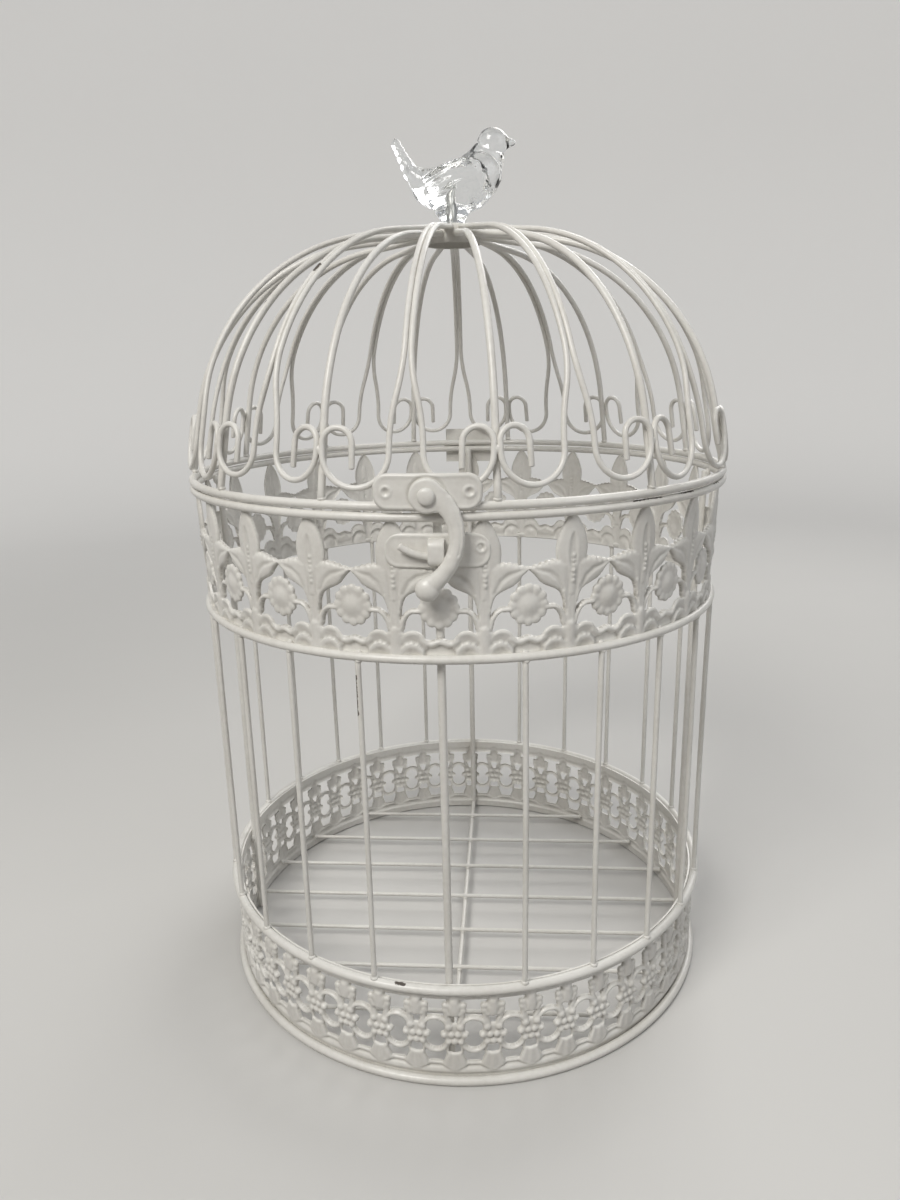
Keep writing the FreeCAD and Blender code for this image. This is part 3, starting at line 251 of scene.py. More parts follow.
@dataclass(frozen=True)
class CreamPaint(Finish):
    """Thick cream enamel over black wire, with painted shade in its hollows and a few chips."""

    name: str = "cream_paint"
    slot: Slot = Slot.PAINT
    light: Colour = (0.80, 0.785, 0.745, 1.0)
    shade: Colour = (0.71, 0.69, 0.645, 1.0)
    # Dark grey painted into hollows as shade
    painted_shade: Colour = (0.30, 0.28, 0.24, 1.0)
    bare: Colour = (0.085, 0.07, 0.058, 1.0)
    ragged_reach: float = 1.6
    scratches: tuple[Scratch, ...] = (
        Scratch((-48.1, -72.5, 339.9), (-49.5, -74.7, 338.2), 1.3),
        Scratch((-89.0, -19.8, 334.5), (-90.3, -20.0, 332.9), 0.7),
        Scratch((-70.8, -68.8, 327.0), (-71.3, -69.3, 326.4), 0.6),
        Scratch((-19.0, -122.2, 50.0), (-22.0, -121.6, 50.0), 1.0),
        Scratch((-32.9, -119.8, 187.0), (-32.9, -119.8, 171.0), 0.55),
        Scratch((72.0, -103.6, 250.7), (84.0, -94.0, 250.7), 0.5),
        Scratch((92.0, -86.6, 250.9), (99.0, -78.4, 250.7), 0.6),
        Scratch((111.5, -59.5, 250.8), (114.5, -53.5, 250.8), 0.6),
        Scratch((-96.0, 82.0, 250.8), (-88.0, 90.5, 250.8), 0.6),
    )

    def build(self) -> bpy.types.Material:
        """Make the paint."""
        shader = Shader(self.name)
        spot = shader.spot()
        cloud = shader.noise(spot, 28.0, 3.0)
        grain = shader.noise(spot, 420.0, 3.0)
        peel = shader.noise(spot, 900.0, 1.0)
        colour = shader.blend((cloud * 0.7 + grain * 0.3).ramp(0.38, 0.68), self.light, self.shade)
        # Painted shade: the paint turns to dark grey where a piece marks its points as lying in a
        # hollow
        hollow = shader.attribute("hollow")
        colour = shader.blend(hollow * (0.55 + grain * 0.35), colour, self.painted_shade)
        ragged = shader.noise(spot, 700.0, 3.0, output=1)
        ragged = shader.vector("MULTIPLY_ADD", ragged, (self.ragged_reach * MM,) * 3, spot)
        # The noise is 0.5 on average, so it moves every spot by half its reach
        shift = np.full(3, self.ragged_reach / 2)
        chipped: Term = 0.0
        for scratch in self.scratches:
            start = (np.array(scratch.start) + shift) * MM
            run = (np.array(scratch.end) - np.array(scratch.start)) * MM
            beside = shader.vector("SUBTRACT", ragged, tuple(start))
            share = shader.vector("DOT_PRODUCT", beside, tuple(run / (run @ run)), output=1)
            share = shader.node("ShaderNodeClamp", {}, {0: share})
            nearest = shader.vector("SCALE", tuple(run), scale=share)
            away = shader.vector("DISTANCE", beside, nearest, output=1)
            mark = away.ramp(scratch.radius * MM * 1.1, scratch.radius * MM * 0.7)
            chipped = mark.most(chipped)
        scuff = (cloud * 0.5 + grain * 0.5).ramp(0.725, 0.745)
        chipped = chipped.most(scuff * 0.8)
        shader.set(
            Base_Color=shader.blend(chipped, colour, self.bare),
            Roughness=0.33 + grain * 0.16 + chipped * 0.25 + hollow * 0.15,
            Normal=shader.bump(peel * 0.6 + grain * 0.8 - chipped * 0.8, 0.16, 0.0005),
            Coat_Weight=0.22, Coat_Roughness=0.18, Specular_IOR_Level=0.5)
        return shader.material


@dataclass(frozen=True)
class ClearAcrylic(Finish):
    """Clear moulded acrylic with a slightly wavy skin."""

    name: str = "clear_acrylic"
    slot: Slot = Slot.ACRYLIC
    tint: Colour = (0.965, 0.978, 0.985, 1.0)
    haze: Colour = (0.90, 0.92, 0.93, 1.0)

    def build(self) -> bpy.types.Material:
        """Make the acrylic."""
        shader = Shader(self.name)
        spot = shader.spot()
        wave = shader.noise(spot, 160.0, 2.0)
        fine = shader.noise(spot, 900.0, 1.0)
        shader.set(
            Base_Color=shader.blend(fine.ramp(0.4, 0.8), self.tint, self.haze),
            Roughness=0.015 + fine * 0.05,
            Normal=shader.bump(wave, 0.35, 0.0012),
            Transmission_Weight=1.0, IOR=1.47)
        return shader.material


@dataclass(frozen=True)
class ScrewSteel(Finish):
    """Cut steel thread."""

    name: str = "screw_thread"
    slot: Slot = Slot.STEEL
    bright: Colour = (0.72, 0.72, 0.70, 1.0)
    dull: Colour = (0.42, 0.42, 0.40, 1.0)

    def build(self) -> bpy.types.Material:
        """Make the steel."""
        shader = Shader(self.name)
        grain = shader.noise(shader.spot(), 1500.0, 2.0)
        shader.set(
            Base_Color=shader.blend(grain, self.bright, self.dull),
            Roughness=0.24 + grain * 0.2, Metallic=1.0)
        return shader.material


PAINT = CreamPaint()
ACRYLIC = ClearAcrylic()
STEEL = ScrewSteel()


# Meshes


def at_azimuth(azimuth: float, points: Array) -> Array:
    """Turn points about the vertical axis.

    Args:
        azimuth: angle in degrees, from the front towards +X.
        points: points of the front.

    Returns:
        The turned points.
    """
    angle = math.radians(azimuth)
    cos, sin = math.cos(angle), math.sin(angle)
    points = np.asarray(points, float)
    return np.stack(
        [points[..., 0] * cos - points[..., 1] * sin,
         points[..., 0] * sin + points[..., 1] * cos, points[..., 2]], -1)


def linked(name: str, points: Array, faces: Faces) -> bpy.types.Object:
    """Smooth mesh object in the scene.

    Args:
        name: its name.
        points: its points in metres.
        faces: its faces.

    Returns:
        The object.
    """
    mesh = bpy.data.meshes.new(name)
    mesh.from_pydata(points.tolist(), [], faces)
    made = bpy.data.objects.new(name, mesh)
    bpy.context.scene.collection.objects.link(made)
    smooth(made)
    return made


def smooth(made: bpy.types.Object) -> None:
    """Shade all faces of an object smooth."""
    made.data.polygons.foreach_set("use_smooth", [True] * len(made.data.polygons))


def flipped(faces: Faces) -> Faces:
    """Faces that look the other way."""
    return [tuple(reversed(face)) for face in faces]


def tube_faces(rows: int, sides: int, closed: bool = False) -> Faces:
    """Faces along rings of points, with the two ends last.

    Args:
        rows: how many rings.
        sides: points in each ring.
        closed: whether the last ring joins the first, so that no ends are left.

    Returns:
        The faces.
    """
    faces: Faces = []
    for row in range(rows if closed else rows - 1):
        low, high = row * sides, (row + 1) % rows * sides
        for i in range(sides):
            j = (i + 1) % sides
            faces.append((low + i, low + j, high + j, high + i))
    if not closed:
        faces.append(tuple(range(sides - 1, -1, -1)))
        faces.append(tuple(range((rows - 1) * sides, rows * sides)))
    return faces


def two_skins(
        front: Array, back: Array, faces: Faces, rim: Sequence[tuple[int, int]]) -> tuple[Array, Faces]:
    """Sheet with a front and a back.

    Args:
        front: points of the front.
        back: points of the back, in the same order.
        faces: faces of the front.
        rim: edges of those faces along the rim.

    Returns:
        Points and faces.
    """
    count = len(front)
    turned = [tuple(i + count for i in face) for face in flipped(faces)]
    walls = [(b, a, a + count, b + count) for a, b in rim]
    return np.concatenate([front, back]), faces + turned + walls


class Shape:
    """Points and faces of one piece while it is made, in millimetres."""

    def __init__(self) -> None:
        """Start with nothing."""
        self.points: list[Array] = []
        self.hollow: list[Array] = []
        self.faces: Faces = []
        self.size = 0

    def add(
            self, points: Array, faces: Iterable[Sequence[int]],
            hollow: Optional[Array] = None) -> "Shape":
        """Add a form.

        Args:
            points: its points.
            faces: its faces, counted from its first point.
            hollow: how deep each point lies in a hollow, from 0 to 1, which the paint darkens as
                painted shade.

        Returns:
            This shape.
        """
        self.points.append(np.asarray(points, float))
        self.hollow.append(np.zeros(len(points)) if hollow is None else hollow)
        self.faces += [tuple(int(i) + self.size for i in face) for face in faces]
        self.size += len(points)
        return self

    def weld(self, centre: Sequence[float], radii: Sequence[float]) -> "Shape":
        """Add a small weld."""
        return self.add(*bead(centre, radii))

    def merge(self, other: "Shape", azimuth: float = 0.0) -> "Shape":
        """Add a whole shape, turned about the vertical axis."""
        points = at_azimuth(azimuth, np.concatenate(other.points))
        return self.add(points, other.faces, np.concatenate(other.hollow))

    def piece(
            self, name: str, body: Body, finish: Finish, nodes: Sequence[str],
            crease: Optional[float] = 60.0) -> None:
        """Make the Blender object, dress it and let it ride on its body.

        Args:
            name: the piece's name.
            body: what it moves with.
            finish: its finish.
            nodes: CAD nodes that it stands for.
            crease: angle in degrees from which an edge is sharp, or none.
        """
        made = self.link(name)
        if crease is not None:
            made.data.set_sharp_from_angle(angle=math.radians(crease))
        # Each point's share of painted shade goes to the paint as the hollow attribute
        depth = np.concatenate(self.hollow)
        if depth.any():
            layer = made.data.attributes.new("hollow", "FLOAT", "POINT")
            layer.data.foreach_set("value", depth.astype(np.float32))
        settle(made, body, finish, nodes)

    def link(self, name: str) -> bpy.types.Object:
        """Make the Blender object, with nothing on it yet."""
        return linked(name, np.concatenate(self.points) * MM, self.faces)


def settle(made: bpy.types.Object, body: Body, finish: Finish, nodes: Sequence[str]) -> None:
    """Dress a piece, let it ride on its body and stand for its CAD nodes.

    Args:
        made: the piece.
        body: what it moves with.
        finish: its finish.
        nodes: CAD nodes that it stands for.
    """
    finish.dress(made)
    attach(made, body.value)
    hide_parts(*nodes)
    LOG.info("%s rides on %s, %d faces", made.name, body.value, len(made.data.polygons))


def unit(vector: Array) -> Array:
    """Vector of length 1."""
    return vector / np.linalg.norm(vector)


def unit_rows(rows: Array) -> Array:
    """Vectors of length 1, one in each row."""
    return rows / np.linalg.norm(rows, axis=1)[:, None]


def circle(count: int) -> Array:
    """Angles of evenly spaced points round a circle."""
    return 2 * math.pi * np.arange(count) / count


class WirePath:
    """Centre line of a bent wire, sampled along its straight runs and arcs."""

    def __init__(self, start: Sequence[float], step: float = 1.6) -> None:
        """Start at a point, with about one sample at each step."""
        self.points: list[Array] = [np.asarray(start, float)]
        self.step = step

    def line(self, end: Sequence[float]) -> "WirePath":
        """Straight run to a point."""
        start, end = self.points[-1], np.asarray(end, float)
        count = max(1, int(np.linalg.norm(end - start) / (3 * self.step)))
        self.points += [start + (end - start) * i / count for i in range(1, count + 1)]
        return self

    def arc(self, via: Sequence[float], end: Sequence[float]) -> "WirePath":
        """Arc through a point to another.

        Args:
            via: a point on the arc.
            end: its end.

        Returns:
            This path.
        """
        start, via, end = self.points[-1], np.asarray(via, float), np.asarray(end, float)
        a, b = via - start, end - start
        normal = np.cross(a, b)
        size = normal @ normal
        if size < 1e-12:
            return self.line(end)
        centre = start + (np.cross(normal, a) * (b @ b) + np.cross(b, normal) * (a @ a)) / (2 * size)
        radius = np.linalg.norm(start - centre)
        across = unit(start - centre)
        along = np.cross(unit(normal), across)
        reach = math.atan2((end - centre) @ along, (end - centre) @ across) % (2 * math.pi)
        count = max(3, int(reach * radius / self.step), int(reach / 0.2))
        for i in range(1, count + 1):
            angle = reach * i / count
            self.points.append(
                centre + radius * (across * math.cos(angle) + along * math.sin(angle)))
        return self

    def leave(self, direction: Array, end: Array) -> "WirePath":
        """Arc that leaves in a direction and ends at a point."""
        start = self.points[-1]
        chord = end - start
        along = unit(chord)
        side = direction - along * (direction @ along)
        width = np.linalg.norm(side)
        if width < 1e-9:
            return self.line(end)
        lean = math.atan2(width, direction @ along)
        return self.arc(
            start + chord / 2 + side * (np.linalg.norm(chord) / 2 * math.tan(lean / 2) / width), end)

    def ease(self, leaving: Array, end: Array, arriving: Array) -> "WirePath":
        """Two arcs that keep the directions at both ends.

        Args:
            leaving: direction at the start.
            end: where the second arc ends.
            arriving: direction there.

        Returns:
            This path.
        """
        start = self.points[-1]
        across = end - start
        square = 2 * (leaving @ arriving - 1)
        linear = -2 * across @ (leaving + arriving)
        constant = across @ across
        if abs(square) < 1e-9:
            reach = -constant / linear
        else:
            reach = (-linear - math.sqrt(linear ** 2 - 4 * square * constant)) / (2 * square)
        joint = (start + leaving * reach + end - arriving * reach) / 2
        there = joint - start
        tangent = there * (2 * (there @ leaving) / (there @ there)) - leaving
        return self.leave(leaving, joint).leave(tangent, end)

    def rod(self, thick: float, sides: int = 12) -> Shape:
        """Round wire along this path."""
        return Shape().add(*wire(np.array(self.points), thick, sides))


def wire(
        path: Array, thick: float, sides: int = 12, closed: bool = False,
        uneven: float = 0.012) -> tuple[Array, Faces]:
    """Round wire with softly rounded ends and a slightly uneven coat.

    Args:
        path: its centre line.
        thick: its diameter.
        sides: points round it.
        closed: whether it is a ring.
        uneven: how much its thickness varies.

    Returns:
        Points and faces.
    """
    path = np.asarray(path, float)
    along = np.r_[0, np.cumsum(np.linalg.norm(np.diff(path, axis=0), axis=1))]
    phase = float(path[0] @ np.array([0.11, 0.07, 0.05]))
    radii = thick / 2 * (
        1 + uneven * (np.sin(along / 6.1 + phase) + 0.7 * np.sin(along / 2.7 + 2 * phase)))
    if closed:
        tangents = np.roll(path, -1, 0) - np.roll(path, 1, 0)
    else:
        radius = thick / 2
        ends = np.radians([78, 52, 26])
        first, last = unit(path[1] - path[0]), unit(path[-1] - path[-2])
        round_off = radius * 0.45
        head = [path[0] - first * round_off * math.sin(a) for a in ends]
        tail = [path[-1] + last * round_off * math.sin(a) for a in ends[::-1]]
        path = np.concatenate([
            np.array(head) + first * round_off, path[:1] + first * round_off, path[1:-1],
            path[-1:] - last * round_off, np.array(tail) - last * round_off])
        radii = np.concatenate([
            radius * np.cos(ends), radii, radius * np.cos(ends[::-1])])
        tangents = np.gradient(path, axis=0)
        tangents[:len(ends) + 1], tangents[-len(ends) - 1:] = first, last
    tangents = unit_rows(tangents)
    normal = np.cross(tangents[0], [0.0, 0.0, 1.0])
    if np.linalg.norm(normal) < 1e-3:
        normal = np.cross(tangents[0], [1.0, 0.0, 0.0])
    turns = circle(sides)
    points = []
    for spot, tangent, radius in zip(path, tangents, radii):
        normal = unit(normal - tangent * (normal @ tangent))
        other = np.cross(tangent, normal)
        points.append(spot + radius * (
            np.outer(np.cos(turns), normal) + np.outer(np.sin(turns), other)))
    return np.concatenate(points), tube_faces(len(path), sides, closed)


def bead(
        centre: Sequence[float], radii: Sequence[float], rings: int = 7,
        sides: int = 12) -> tuple[Array, Faces]:
    """Rounded lump, such as a weld.

    Args:
        centre: its middle.
        radii: half its size along each axis.
        rings: rings from pole to pole.
        sides: points round it.

    Returns:
        Points and faces.
    """
    points = [np.array([0.0, 0.0, -1.0])]
    for row in range(1, rings):
        tilt = math.pi * row / rings
        for i in range(sides):
            turn = 2 * math.pi * i / sides
            points.append(np.array([
                math.sin(tilt) * math.cos(turn), math.sin(tilt) * math.sin(turn), -math.cos(tilt)]))
    points.append(np.array([0.0, 0.0, 1.0]))
    faces: Faces = []
    top = len(points) - 1
    for i in range(sides):
        j = (i + 1) % sides
        faces.append((0, 1 + j, 1 + i))
        last = 1 + (rings - 2) * sides
        faces.append((top, last + i, last + j))
        for row in range(rings - 2):
            low = 1 + row * sides
            faces.append((low + i, low + j, low + sides + j, low + sides + i))
    return np.array(points) * np.asarray(radii, float) + np.asarray(centre, float), faces


def lathe(
        profile: Sequence[tuple[float, float]], centre: Sequence[float], axis: str = "Z",
        sides: int = 48) -> tuple[Array, Faces]:
    """Turned form.

    Args:
        profile: radius and height of each ring, the outside on the right when going up.
        centre: where radius and height are 0.
        axis: Z for an upright form, or Y for one that faces the front.
        sides: points round it.

    Returns:
        Points and faces.
    """
    turns = circle(sides)
    rows = []
    for radius, height in profile:
        flat = [radius * np.cos(turns), radius * np.sin(turns), np.full(sides, height)]
        rows.append(np.stack(flat if axis == "Z" else [flat[0], -flat[2], flat[1]], -1))
    points = np.concatenate(rows) + np.asarray(centre, float)
    return points, tube_faces(len(profile), sides)


# Pressed sheet


Line = Sequence[tuple[float, float, float]]
# Depth where no metal is near, and the least share of a cell that a cut leaves
FAR_OUTSIDE = -9.0
NEAREST_CUT = 0.06


def half_round(share: Array) -> Array:
    """Height of a half round: 1 in the middle, and 0 from a share of 1 outwards."""
    return np.sqrt(np.clip(1 - share ** 2, 0, 1))


def hump(away: Array, width: float, power: int = 2) -> Array:
    """Height of a soft hump: 1 in the middle, and almost 0 from two widths outwards."""
    return np.exp(-(away / width) ** power)


def edge_through(at: Array, spots: Sequence[tuple[float, float]]) -> Array:
    """Where an edge drawn through some spots lies."""
    return np.interp(at, *zip(*spots))


class Press:
    """Pressed forms of a sheet: how far inside the metal each spot lies, and how high it stands."""

    def __init__(self, across: Array, up: Array) -> None:
        """Start with no metal at these spots."""
        self.across = across
        self.up = up
        self.inside = np.full(across.shape, FAR_OUTSIDE)
        self.rise = np.zeros(across.shape)

    def form(self, inside: Array, rise: Union[Array, float]) -> None:
        """Add metal, and stand it up where it is higher than what is there."""
        self.inside = np.maximum(self.inside, inside)
        self.rise = np.where(inside > -0.8, np.maximum(self.rise, rise), self.rise)

    def cut(self, inside: Array) -> None:
        """Take metal away."""
        self.inside = np.minimum(self.inside, -inside)

    def lift(self, amount: Array) -> None:
        """Raise what is there, or sink it where the amount is less than 0."""
        self.rise = self.rise + amount

    def away(self, across: float, up: float) -> Array:
        """Distance from a spot."""
        return np.hypot(self.across - across, self.up - up)

    def lump(self, across: float, up: float, radius: float, high: float, low: float = 0.0) -> None:
        """Round lump of metal.

        Args:
            across: its place along the strip.
            up: its height on the strip.
            radius: its radius.
            high: its rise in the middle.
            low: its rise at the edge.
        """
        away = self.away(across, up)
        self.form(radius - away, low + (high - low) * half_round(away / radius))

    def run(self, path: Line) -> tuple[Array, Array]:
        """Distance from a line whose width varies.

        Args:
            path: place, height and half width of its points.

        Returns:
            How far inside the line each spot lies, and that depth as a share of the half width.
        """
        best = np.full(self.across.shape, FAR_OUTSIDE)
        share = np.zeros(self.across.shape)
        for (x0, z0, w0), (x1, z1, w1) in zip(path, path[1:]):
            dx, dz = x1 - x0, z1 - z0
            along = ((self.across - x0) * dx + (self.up - z0) * dz) / (dx * dx + dz * dz)
            along = np.clip(along, 0, 1)
            half = w0 + (w1 - w0) * along
            depth = half - np.hypot(self.across - x0 - dx * along, self.up - z0 - dz * along)
            share = np.where(depth > best, depth / half, share)
            best = np.maximum(best, depth)
        return best, share

    def ridge(self, path: Line, high: float) -> None:
        """Round ridge along a line."""
        depth, share = self.run(path)
        self.form(depth, high * half_round(1 - share))

    def border(self, up: float, half: float, high: float, length: float) -> None:
        """Round ridge along the strip.

        Args:
            up: its height on the strip.
            half: half its width.
            high: its rise.
            length: how far the strip's repeat reaches.
        """
        self.ridge(((-1, up, half), (length + 1, up, half)), high)

    def groove(self, path: Line, deep: float) -> None:
        """Groove pressed into what is there."""
        depth, share = self.run(path)
        self.lift(-deep * np.clip(share, 0, 1) ** 0.7 * (depth > 0))


def blurred(grid: Array, reach: int, wrap: bool) -> Array:
    """Mean over a square of neighbours.

    Args:
        grid: values.
        reach: half the square's side.
        wrap: whether the first axis closes on itself.

    Returns:
        The means.
    """
    grid = np.pad(grid, ((reach, reach), (0, 0)), mode="wrap" if wrap else "edge")
    grid = np.pad(grid, ((0, 0), (reach, reach)), mode="edge")
    total = np.cumsum(np.cumsum(np.pad(grid, ((1, 0), (1, 0))), 0), 1)
    side = 2 * reach + 1
    summed = total[side:, side:] - total[:-side, side:] - total[side:, :-side] + total[:-side, :-side]
    return summed / side ** 2


@dataclass
class CutSheet:
    """Front of a sheet after cutting: its spots, the press at them, the painted shade of its hollows,
    its faces and its rim.
    """

    places: Array
    heights: Array
    press: Press
    hollow: Array
    faces: Faces
    rim: list[tuple[int, int]]


@dataclass
class PressedSheet:
    """Sheet with pressed relief and openings, cut from a grid of cells."""

    pattern: Callable[[Press], None]
    left: float
    right: float
    low: float
    high: float
    cell: float
    repeats: int = 0
    thick: float = 0.8
    soft_edge: float = 0.35
    edge_width: float = 0.8
    back_share: float = 0.85
    # Painted shade in the pressed hollows: reach of the mean that finds them, how strongly they darken,
    # and the share on the back
    hollow_reach: int = 3
    hollow_gain: float = 0.9
    back_hollow: float = 0.3

    def draw(self, across: Array, up: Array) -> Press:
        """Press the pattern at some spots."""
        press = Press(across, up)
        self.pattern(press)
        slope = np.clip(1 - press.inside / self.edge_width, 0, 1.2)
        press.lift(-self.soft_edge * slope ** 2)
        return press

    def cut(self) -> CutSheet:
        """Cut the sheet out of its grid."""
        closed = self.repeats > 0
        each = round((self.right - self.left) / self.cell)
        wide = (self.right - self.left) / each
        rows = round((self.high - self.low) / self.cell)
        tall = (self.high - self.low) / rows
        margin = 0 if closed else 1
        column = np.arange(each * self.repeats if closed else each + 3)
        across = self.left + (column % each if closed else column - margin) * wide
        up = self.low + (np.arange(rows + 3) - 1) * tall
        press = self.draw(*np.meshgrid(across, up, indexing="ij"))
        outside = np.minimum(up - self.low, self.high - up)[None, :] + 0.02
        inside = np.minimum(press.inside, outside)
        spots, faces, rim = trace(inside, closed)
        places = self.left + (spots[:, 0] - margin) * wide
        heights = self.low + (spots[:, 1] - 1) * tall
        folded = self.left + np.mod(places - self.left, self.right - self.left) if closed else places
        # Painted shade: spots that lie lower than the mean round them get a darkening share for the
        # paint
        around = blurred(press.rise * (inside > 0), self.hollow_reach, closed)
        deep = np.clip((around - press.rise) * self.hollow_gain, 0, 1)
        picked = np.clip(np.rint(spots).astype(int), 0, np.array(deep.shape) - 1)
        hollow = deep[picked[:, 0], picked[:, 1]]
        return CutSheet(places, heights, self.draw(folded, heights), hollow, faces, rim)

    def build(self, wrap: Callable[[Array, Array, Array], Array]) -> Shape:
        """Cut the sheet and lay it on its surface.

        Args:
            wrap: gives points in space from places along and up the sheet, and the rise above it.

        Returns:
            The sheet.
        """
        cut = self.cut()
        rise = cut.press.rise
        front = wrap(cut.places, cut.heights, rise)
        back = wrap(cut.places, cut.heights, rise * self.back_share - self.thick)
        # The back gets a weaker share of the painted shade
        hollow = np.concatenate([cut.hollow, cut.hollow * self.back_hollow])
        return Shape().add(*two_skins(front, back, cut.faces, cut.rim), hollow)


def trace(inside: Array, wrap: bool) -> tuple[Array, Faces, list[tuple[int, int]]]:
    """Cut the cells of a grid along the line where the metal ends.

    Args:
        inside: how far inside the metal each grid point lies.
        wrap: whether the columns close on themselves.

    Returns:
        Spots in columns and rows, faces, and the edges of the faces along the cut.
    """
    columns = len(inside)
    live = inside > 0
    number = np.full(inside.shape, -1)
    number[live] = np.arange(live.sum())
    spots = [tuple(map(float, spot)) for spot in np.argwhere(live)]
    cuts: dict[tuple[int, int, int], int] = {}

    def crossing(column: int, row: int, axis: int) -> int:
        """Spot on a grid line where the metal ends."""
        key = (column % columns, row, axis)
        if key not in cuts:
            here = inside[key[0], row]
            there = inside[(key[0] + 1) % columns, row] if axis == 0 else inside[key[0], row + 1]
            share = min(1 - NEAREST_CUT, max(NEAREST_CUT, here / (here - there)))
            spots.append((key[0] + share, row) if axis == 0 else (key[0], row + share))
            cuts[key] = len(spots) - 1
        return cuts[key]

    faces: Faces = []
    rim: list[tuple[int, int]] = []
    last = columns if wrap else columns - 1
    beside = np.roll(live, -1, 0)
    corners = live[:, :-1].astype(int) + live[:, 1:] + beside[:, :-1] + beside[:, 1:]
    for column, row in np.argwhere(corners[:last] > 0):
        after = (column + 1) % columns
        around = ((column, row), (after, row), (after, row + 1), (column, row + 1))
        if corners[column, row] == 4:
            faces.append(tuple(int(number[spot]) for spot in around))
            continue
        edges = ((column, row, 0), (column + 1, row, 1), (column, row + 1, 0), (column, row, 1))
        ring: list[tuple[int, bool]] = []
        for i in range(4):
            if live[around[i]]:
                ring.append((int(number[around[i]]), False))
            if live[around[i]] != live[around[(i + 1) % 4]]:
                ring.append((crossing(*edges[i]), True))
        faces.append(tuple(spot for spot, _ in ring))
        for i, (spot, cut) in enumerate(ring):
            follower, cut_too = ring[(i + 1) % len(ring)]
            if cut and cut_too:
                rim.append((spot, follower))
    return np.array(spots), faces, rim


def round_cage(
        low_radius: float, high_radius: float, low: float, high: float,
        turn: float) -> Callable[[Array, Array, Array], Array]:
    """Surface round the cage for a pressed sheet.

    Args:
        low_radius: radius at the sheet's foot.
        high_radius: radius at its top.
        low: height of the foot.
        high: height of the top.
        turn: azimuth of its start in degrees.

    Returns:
        The function that lays a sheet on the surface.
    """
    middle = (low_radius + high_radius) / 2

    def lay(across: Array, up: Array, rise: Array) -> Array:
        """Points in space of spots on the sheet."""
        angle = across / middle + math.radians(turn)
        radius = low_radius + (high_radius - low_radius) * up / (high - low) + rise
        return np.stack([radius * np.sin(angle), -radius * np.cos(angle), low + up], -1)

    return lay


# The cage


@dataclass
class Rings:
    """Foot, second, middle and rim rings of the cage, and the ring of the lid."""

    radius: float = 123.2
    rim_radius: float = 125.3
    base_wire: float = 4.0
    mid_wire: float = 3.5
    rim_wire: float = 3.4
    foot_height: float = 2.0
    second_height: float = 48.2
    mid_height: float = 194.6
    rim_height: float = 249.0
    lid_height: float = 252.8
    samples: int = 288

    def ring(self, radius: float, thick: float, height: float, wobble: float) -> Shape:
        """Ring of wire that isn't quite flat or round.

        Args:
            radius: of its centre line.
            thick: its wire.
            height: of its centre line.
            wobble: start of its waves.

        Returns:
            The ring.
        """
        turn = circle(self.samples)
        out = radius + 0.05 * np.sin(3 * turn + wobble) + 0.03 * np.sin(8 * turn + 2 * wobble)
        up = height + 0.08 * np.sin(4 * turn + 3 * wobble) * (wobble > 0)
        path = np.stack([out * np.sin(turn), -out * np.cos(turn), up], -1)
        return Shape().add(*wire(path, thick, sides=16, closed=True, uneven=0.0))

    def build(self) -> None:
        """Make all rings."""
        rows = (
            ("base_ring", self.radius, self.base_wire, self.foot_height, Body.CAGE),
            ("second_ring", self.radius, self.base_wire, self.second_height, Body.CAGE),
            ("mid_ring", self.radius, self.mid_wire, self.mid_height, Body.CAGE),
            ("rim_ring", self.rim_radius, self.rim_wire, self.rim_height, Body.CAGE),
            ("lid_ring", self.rim_radius, self.rim_wire, self.lid_height, Body.LID))
        for index, (node, radius, thick, height, body) in enumerate(rows):
            shape = self.ring(radius, thick, height, 1.3 * index)
            shape.piece(f"{node}_wire", body, PAINT, [node])


@dataclass
class Strip:
    """Base of the pressed strips round the cage."""

    name: str
    low_radius: float
    high_radius: float
    low: float
    high: float
    repeats: int
    turn: float
    cell: float

    def half(self) -> float:
        """Half the width of a repeat."""
        return math.pi * (self.low_radius + self.high_radius) / 2 / self.repeats

    def pattern(self, press: Press) -> None:
        """Press one repeat."""
        raise NotImplementedError

    def build(self) -> None:
        """Make the strip."""
        half = self.half()
        sheet = PressedSheet(
            self.pattern, -half, half, 0.0, self.high - self.low, self.cell, self.repeats)
        lay = round_cage(self.low_radius, self.high_radius, self.low, self.high, self.turn)
        shape = sheet.build(lay)
        shape.piece(f"{self.name}_strip", Body.CAGE, PAINT, [f"{self.name}_band"], crease=75.0)


